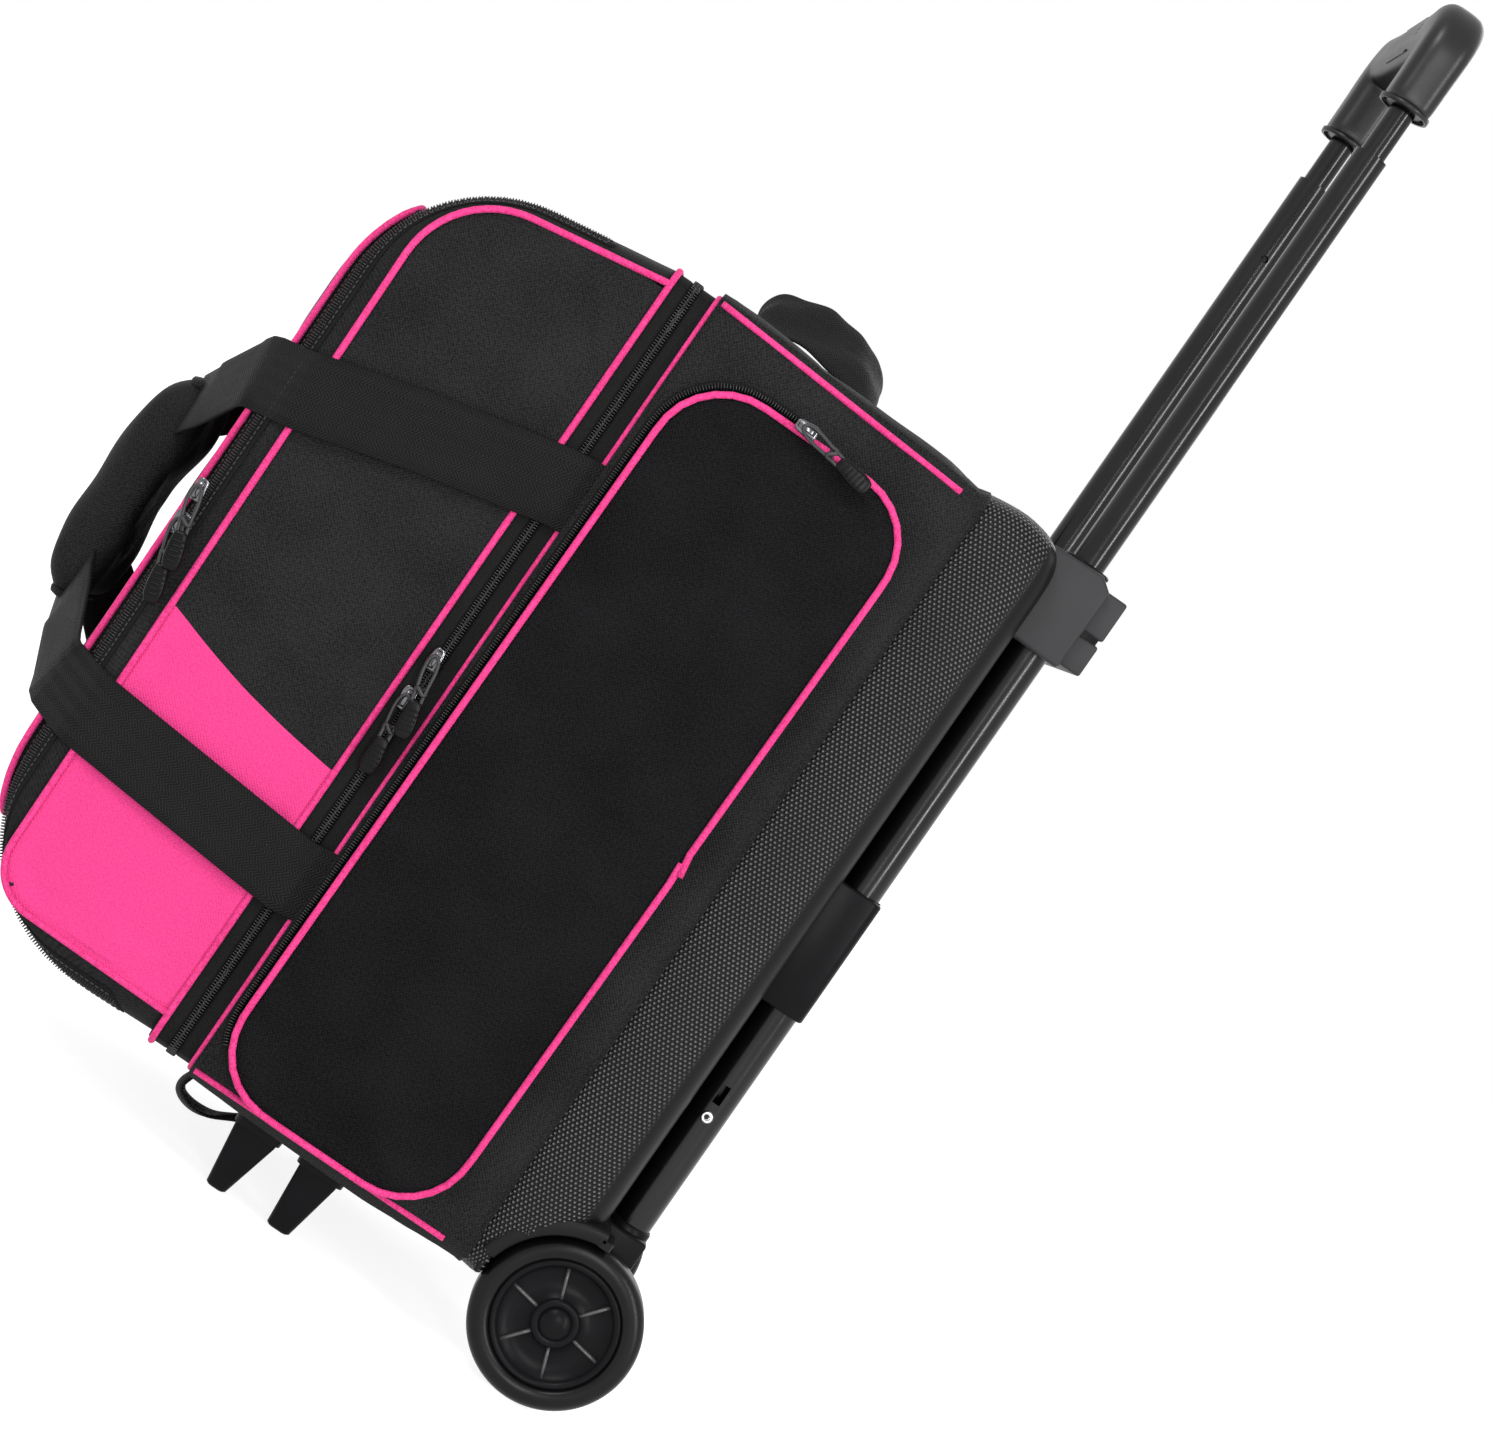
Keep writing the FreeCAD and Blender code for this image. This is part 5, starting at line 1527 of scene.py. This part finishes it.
def add_feet():
    """Four tapered stand feet, each moulded with a collar."""
    for word, side in (("near", 1), ("far", -1)):
        x = MID_X + side * 88
        for place, (root, tip) in FEET.items():
            rows = []
            for share, grow in ((0, 0.80), (0.03, 1.0), (0.5, 1.0), (0.93, 1.0), (1.0, 0.96)):
                z = FOOT_TIP + (BODY_LOW - 8 - FOOT_TIP) * share
                y0 = tip[0] + (root[0] - tip[0]) * share
                y1 = tip[1] + (root[1] - tip[1]) * share
                rows.append(foot_row(x, (y0 + y1) / 2, z, (y1 - y0) * grow, (10 + 9 * share) * grow, 2.6, 4))
            rows.insert(0, tapered_end(rows[0], 0.03))
            collar = [foot_row(x, (root[0] + root[1]) / 2, BODY_LOW + rise, 27 * grow, 23 * grow, 5, 5)
                      for rise, grow in ((-9, 0.9), (-8.6, 1.0), (-4, 1.03), (-2.2, 1.16), (1.0, 1.2))]
            collar.insert(0, tapered_end(collar[0], 0.3))
            name = f"{word}_{place}_stand_foot"
            foot = join(name, [add_grid(f"{name}_{part}", part_rows, "black_plastic", body=None, closed=True,
                                        smooth_steps=0)
                               for part, part_rows in (("blade", rows), ("collar", collar))])
            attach(foot, "root")
    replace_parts(bpy.data.objects["near_front_stand_foot"], "stand_feet")


# ---------------------------------------------------------------- handle and its mounts

# Radius of the clamp's bore round each tube, and how far the mounts sink into the tray.
SADDLE_BORE = 11.3
MOUNT_FACE = TRAY_BACK - 4


def add_block(name, box, y_from, y_to, edge, look="black_plastic"):
    """Rounded block: a box (x from, x to, z from, z to) extruded along Y."""
    return add_moulding(name, box_outline(*box), "y", y_from, y_to, look, None, edge)


def add_turned(name, profile, centre, axis="z", side=1):
    """Turned plastic part of a mount."""
    return add_lathe(name, [(side * a, r) for a, r in profile], "black_plastic", None, Vector(centre), axis, 40)


def finish_mount(name, pieces, node):
    """One moulding on the tray that stands for a CAD node."""
    moulding = join(name, pieces)
    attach(moulding, "root")
    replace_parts(moulding, node)


def add_bracket():
    """Top bracket: core, two bars with a web between them, cheeks, and a collar round each tube."""
    low, high = corners("top_bracket")
    look = "bracket_plastic"
    step_y = TUBE_Y + 15
    z_mid = (low.z + high.z) / 2
    pieces = [add_block("bracket_core", (low.x + 6, high.x - 6, low.z + 3, high.z - 3), MOUNT_FACE, step_y - 2,
                        2.5, look)]
    for z0, z1 in ((low.z + 3, z_mid - 5), (z_mid - 2, high.z - 5)):
        pieces.append(add_block("bracket_bar", (low.x + 7, high.x - 7, z0, z1), step_y - 6, high.y, 1.5, look))
    pieces.append(add_block("bracket_web", (low.x + 8, high.x - 8, low.z + 5, high.z - 7), step_y - 6,
                            high.y - 2.0, 1.0))
    for side in (1, -1):
        outer = MID_X + side * (high.x - MID_X)
        x_from, x_to = sorted((outer - side * 12, outer))
        plate = [(TRAY_BACK - 12, low.z + 8), (TRAY_BACK - 6, low.z + 1), (step_y, low.z),
                 (step_y + 1, high.z - 6), (step_y - 7, high.z), (TRAY_BACK - 6, high.z - 1),
                 (TRAY_BACK - 12, high.z - 10)]
        pieces.append(add_moulding("bracket_cheek", plate, "x", x_from, x_to, look, None, 2.0, steps=4))
        collar = [(0, 12.0), (0, 13.4), (1.2, 13.4), (2.0, 12.6), (2.0, 9.4), (0, 9.4)]
        pieces.append(add_turned("bracket_collar", collar, (MID_X + side * TUBE_X, TUBE_Y, high.z - 0.6)))
    finish_mount("top_bracket_moulding", pieces, "top_bracket")


def add_clamp():
    """Middle clamp: a saddle with flanges round each tube, and a bridge between the two."""
    low, high = corners("middle_clamp")
    pieces = []
    for side in (1, -1):
        x0, x1 = sorted((MID_X + side * 92, MID_X + side * 58))
        centre = MID_X + side * TUBE_X
        left, right = centre - SADDLE_BORE, centre + SADDLE_BORE
        turns = [math.radians(t) for t in range(0, 181, 12)]
        arc = [(centre - SADDLE_BORE * math.cos(t), TUBE_Y + SADDLE_BORE * math.sin(t)) for t in turns]
        saddle = [(x0, MOUNT_FACE), (left, MOUNT_FACE)] + arc + [
            (right, MOUNT_FACE), (x1, MOUNT_FACE), (x1, high.y - 5), (x1 - 2, high.y - 1.5),
            (x1 - 5, high.y), (x0 + 5, high.y), (x0 + 2, high.y - 1.5), (x0, high.y - 5)]
        pieces.append(add_moulding("clamp_block", saddle, "z", low.z, high.z, "black_plastic", None, 1.6))
        for a, b in ((x0 + 1, left - 0.6), (right + 0.6, x1 - 1)):
            pieces.append(add_block("clamp_flange", (a, b, low.z - 2, high.z + 2), TRAY_BACK - 3, TRAY_BACK + 3,
                                    1.0))
    pieces.append(add_block("clamp_bridge", (MID_X - 60, MID_X + 60, low.z + 12, high.z - 12), TRAY_BACK - 3,
                            TRAY_BACK + 9, 3.0))
    finish_mount("middle_clamp_moulding", pieces, "middle_clamp")


def add_forks():
    """Wheel brackets: a block, a boss round the axle and a collar round the tube."""
    boss = [(-0.5, 11), (2.0, 11), (3.2, 9.6), (3.2, 4.0), (-0.5, 4.0)]
    collar = [(-8, 12.4), (2.0, 12.4), (3.4, 11.6), (3.4, 11.1), (-8, 11.1)]
    for word, side in (("near", 1), ("far", -1)):
        low, high = corners(f"{word}_wheel_bracket")
        outline = [(MOUNT_FACE, low.z + 2), (AXLE_Y + 10, low.z), (high.y + 1, low.z + 8),
                   (high.y, AXLE_Z + 12), (high.y, high.z), (MOUNT_FACE, high.z)]
        face = high.x if side > 0 else low.x
        pieces = [add_moulding("fork_block", outline, "x", low.x, high.x, "black_plastic", None, 2.2),
                  add_turned("fork_boss", boss, (face, AXLE_Y, AXLE_Z), "x", side),
                  add_turned("fork_collar", collar, (MID_X + side * TUBE_X, TUBE_Y, high.z))]
        finish_mount(f"{word}_wheel_bracket_moulding", pieces, f"{word}_wheel_bracket")


def add_rivets():
    """Hollow rivets under the lock slots of the outer tubes."""
    low, high = corners("tube_rivets")
    pieces = []
    for side in (1, -1):
        x = high.x - 2.0 if side > 0 else low.x + 2.0
        profile = [(0, 3.4), (0.9, 3.4), (1.7, 2.7), (1.9, 2.1), (1.5, 1.5), (0.2, 1.3), (0.2, 0)]
        pieces.append(add_lathe(f"rivet_{side}", [(side * a, r) for a, r in profile], "steel", None,
                                Vector((x, TUBE_Y, (low.z + high.z) / 2)), "x", 32))
    rivets = join("hollow_rivets", pieces)
    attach(rivets, "root")
    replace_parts(rivets, "tube_rivets")


def add_grip():
    """Soft-touch grip: two arms, domed shoulders, a bar with an oval button, and a gap for the fingers."""
    low, high = corners("grip")
    bar_z = high.z - 14.6
    route = [Vector((MID_X + side * TUBE_X, TUBE_Y, z))
             for side, z in ((1, low.z), (1, bar_z), (-1, bar_z), (-1, low.z))]
    path = resample(rounded_path(route, [15, 15], 10), 3.5)
    section = rounded_loop(27, 29, 9, 4)
    total = running_length(path)
    scale = []
    for s in total:
        from_end = min(s, total[-1] - s)
        tip = 1 - 0.10 * max(0, 1 - from_end / 5) ** 2
        shoulder = math.exp(-((from_end - 50) / 22) ** 2)
        middle = math.exp(-((s - total[-1] / 2) / 45) ** 2)
        scale.append((tip * (0.96 + 0.05 * shoulder), tip * (0.98 + 0.06 * shoulder - 0.07 * middle)))
    pieces = [add_sweep("grip_bow", path, section, "soft_grip", None, up=inward(path), scale=scale, smooth_steps=1)]
    for side in (1, -1):
        ring = [(0, 12.6), (0, 14.2), (2.4, 14.4), (2.4, 12.4)]
        pieces.append(add_lathe("grip_cuff", ring, "soft_grip", None,
                                Vector((MID_X + side * TUBE_X, TUBE_Y, low.z - 0.2)), "z", 40))
    for face in (-1, 1):
        for n in range(-4, 5):
            reach = 40 * math.sqrt(1 - (n / 5) ** 2)
            z = bar_z + n * 2.5
            deep = 12.4 - 0.09 * n ** 2
            path = [Vector((MID_X + reach * t / 4, TUBE_Y + face * deep, z)) for t in range(-4, 5)]
            pieces.append(add_sweep("grip_rib", path, ring_section(0.8, 6), "soft_grip", None, up=(0, 0, 1)))
    grip = join("grip_moulding", pieces)
    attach(grip, "handle_inner")
    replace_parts(grip, "grip")


def add_button():
    """Oval release button with nine ribs across it."""
    low, high = corners("release_button")
    loop = rounded_loop(high.x - low.x + 6, high.y - low.y, 7.5, 8)
    rows = []
    for z, grow in ((low.z + 0.5, 1.0), (high.z - 1.6, 1.0), (high.z - 0.7, 0.93), (high.z - 0.5, 0.8),
                    (high.z - 0.5, 0.02)):
        rows.append([Vector((MID_X + a * grow, TUBE_Y + b * grow, z)) for a, b in loop])
    pieces = [add_grid("button_cap", rows, "button_plastic", body=None, closed=True, smooth_steps=0)]
    for n in range(-4, 5):
        x = MID_X + n * 3.4
        deep = 5.6 - 0.5 * abs(n) * 0.6
        path = [Vector((x, TUBE_Y + t * deep, high.z - 0.5)) for t in (-1, -0.5, 0, 0.5, 1)]
        pieces.append(add_sweep(f"button_rib_{n}", path, ring_section(0.75, 8), "button_plastic", None,
                                up=(0, 0, 1)))
    button = join("ribbed_button", pieces)
    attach(button, "grip_button")
    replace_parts(button, "release_button")


def inward(path):
    """Unit vectors from each point of the grip's route towards the hand opening."""
    result = []
    for i in range(len(path)):
        before, after = path[max(i - 1, 0)], path[min(i + 1, len(path) - 1)]
        along = (after - before).normalized()
        result.append(Vector((along.z, 0, -along.x)))
    return result


def finish_cad_nodes():
    """Materials of the CAD nodes that stay: tubes, axle, rods and guides."""
    stay = {"near_outer_tube": "painted_tube", "far_outer_tube": "painted_tube",
            "near_middle_tube": "painted_tube", "far_middle_tube": "painted_tube",
            "near_inner_tube": "painted_tube", "far_inner_tube": "painted_tube", "axle": "steel",
            "release_rods": "steel", "middle_lock_guides": "black_plastic",
            "inner_lock_guides": "black_plastic"}
    for name, look in stay.items():
        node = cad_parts[name]
        if not node.material_slots:
            node.data.materials.append(looks[look])
        for place in node.material_slots:
            place.material = looks[look]


# ---------------------------------------------------------------- sliders and pulls

def tapered(rows, share):
    """Rows with both ends drawn in."""
    return [tapered_end(rows[0], share)] + rows + [tapered_end(rows[-1], share)]


def add_slider(name, along):
    """Glossy slider: a plate nipped in at the middle, and a bridge over it."""
    low, high = corners(f"{name}_slider")
    centre = (low + high) / 2
    along = Vector(along).normalized()
    out = Vector((1, 0, 0))
    side = along.cross(out)
    rows = []
    for t, half in ((-1, 3.2), (-0.86, 3.9), (-0.3, 4.2), (0.2, 3.3), (0.6, 3.4), (0.9, 2.7), (1, 1.8)):
        row = []
        for a, b in rounded_loop(2 * half, 2.6, 1.2, 3):
            row.append(Vector((low.x + 1.4, centre.y, centre.z)) + along * t * 6.2 + side * a + out * b)
        rows.append(row)
    plate = add_grid("slider_plate", tapered(rows, 0.1), "slider_metal", body=None, closed=True, smooth_steps=1)
    arc = [Vector((low.x + 2.2 + 2.4 * math.sin(math.pi * n / 10), centre.y, centre.z))
           + along * 4.6 * math.cos(math.pi * n / 10) for n in range(11)]
    bridge = add_sweep("slider_bridge", arc, rounded_loop(2.6, 1.1, 0.5, 3), "slider_metal", None, up=(1, 0, 0.01))
    slider = join(f"{name}_slider_body", [plate, bridge])
    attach(slider, f"{name}_slider")
    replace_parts(slider, f"{name}_slider")


# A pull, in mm along it: cord radius, half the gap between its two strands, and where the rubber end begins.
PULL_CORD = 1.0
PULL_GAP = 2.4
PULL_END = 23


def cord_loop(layer_x):
    """Cord loop of a pull as (across, along, x), from one strand's end round the bridge to the other's."""
    half = [(PULL_GAP, PULL_END + 4, 0), (PULL_GAP, 16, 0), (3.0, 10, 0.3), (3.2, 5, 0.6), (2.6, 0, 0.8)]
    return ([(-a, b, layer_x - x) for a, b, x in half] + [(0.0, -2.6, layer_x - 1.0)]
            + [(a, b, layer_x - x) for a, b, x in reversed(half)])


def cord_mesh(name, points):
    """Round cord through the points, as a mesh with its centreline in metres."""
    curve = bpy.data.curves.new(f"{name}_pull_cord", "CURVE")
    curve.dimensions = "3D"
    curve.bevel_depth = PULL_CORD * MM
    curve.bevel_resolution = 3
    curve.use_fill_caps = True
    spline = curve.splines.new("NURBS")
    spline.points.add(len(points) - 1)
    for place, point in zip(points, spline.points):
        point.co = (*(place * MM), 1)
    spline.order_u = 3
    spline.use_endpoint_u = True
    shape = bpy.data.objects.new(f"{name}_pull_curve", curve)
    bpy.context.collection.objects.link(shape)
    line = centreline(shape)
    mesh = bpy.data.meshes.new_from_object(shape)
    mesh.polygons.foreach_set("use_smooth", [True] * len(mesh.polygons))
    bpy.data.objects.remove(shape)
    cord = bpy.data.objects.new(f"{name}_pull_cord", mesh)
    bpy.context.collection.objects.link(cord)
    mesh.materials.append(looks["thread"])
    return cord, line


def add_pull(name):
    """Cord loop with a knot through the slider's bridge, and a ribbed rubber end on it."""
    low, high = corners(f"{name}_pull")
    slider_low, slider_high = corners(f"{name}_slider")
    root = (slider_low + slider_high) / 2
    root.x = slider_high.x - 1.0
    middle = (low + high) / 2
    down = (middle - Vector((middle.x, root.y, root.z))).normalized()
    side = Vector((1, 0, 0)).cross(down).normalized()
    layer_x = (low.x + high.x) / 2
    points = [Vector((x, root.y, root.z)) + side * a + down * b for a, b, x in cord_loop(layer_x)]
    cord, line = cord_mesh(name, points)
    body = f"{name}_pull"
    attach(cord, body)
    centre = Vector((layer_x, root.y, root.z))
    rows = []
    for b, wide, deep in ((-1, 2.6, 1.4), (0, 3.6, 1.9), (4, 4.2, 2.2), (9, 4.8, 2.3), (14, 4.9, 2.3),
                          (17.5, 4.2, 2.0), (19, 2.8, 1.4)):
        rows.append([centre + down * (PULL_END + b) + side * p + Vector((q, 0, 0))
                     for p, q in rounded_loop(2 * wide, 2 * deep, deep * 0.8, 3)])
    pieces = [add_grid("pull_end", tapered(rows, 0.1), "pull_rubber", body=None, closed=True, smooth_steps=1)]
    for n in range(5):
        b = PULL_END + 4 + 2.6 * n
        path = [centre + down * b + side * p + Vector((2.15, 0, 0)) for p in (-3.6, -1.8, 0, 1.8, 3.6)]
        pieces.append(add_sweep(f"pull_rib_{n}", path, ring_section(0.6, 6), "pull_rubber", None, up=(1, 0, 0)))
    knot = [centre + down * 17 + side * 2.9 * math.cos(a) * (1 if k % 2 else 0.9)
            + Vector((1.6 * math.sin(a), 0, 0)) + down * 1.5 * math.sin(2 * a)
            for k, a in enumerate(2 * math.pi * n / 16 for n in range(16))]
    pieces.append(add_sweep("pull_knot", knot, ring_section(1.15, 8), "thread", None, up=tuple(down), closed=True))
    end = join(f"{name}_pull_end", pieces)
    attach(end, body)
    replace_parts(end, f"{name}_pull")


def centreline(cord):
    """Points of a cord's centreline in metres, read from its NURBS spline."""
    depth = cord.data.bevel_depth
    cord.data.bevel_depth = 0
    mesh = bpy.data.meshes.new_from_object(cord)
    cord.data.bevel_depth = depth
    line = [v.co.copy() for v in mesh.vertices]
    bpy.data.meshes.remove(mesh)
    return line


def add_sliders():
    """Five sliders, each with its pull."""
    directions = {"main_upper": (0, 0, 1), "main_lower": (0, 0, -1), "top_upper": (0, 0, 1),
                  "top_lower": (0, 0, -1), "pocket": (0, -1, 0)}
    for name, along in directions.items():
        add_slider(name, along)
        add_pull(name)


# ---------------------------------------------------------------- assembly

add_camera()
add_studio()
add_sliders()
add_base()
add_fenders()
add_compartment()
add_cradle()
add_binding()
add_main_zip()
add_pocket()
add_lid()
add_flap()
add_top_zip()
add_straps()
add_wrap()
add_grab_straps()
add_fabric_hinges()
for wheel_name, wheel_side in (("near", 1), ("far", -1)):
    add_wheel(wheel_name, wheel_side)
add_feet()
add_bracket()
add_clamp()
add_forks()
add_rivets()
add_grip()
add_button()
finish_cad_nodes()

bpy.context.view_layer.update()
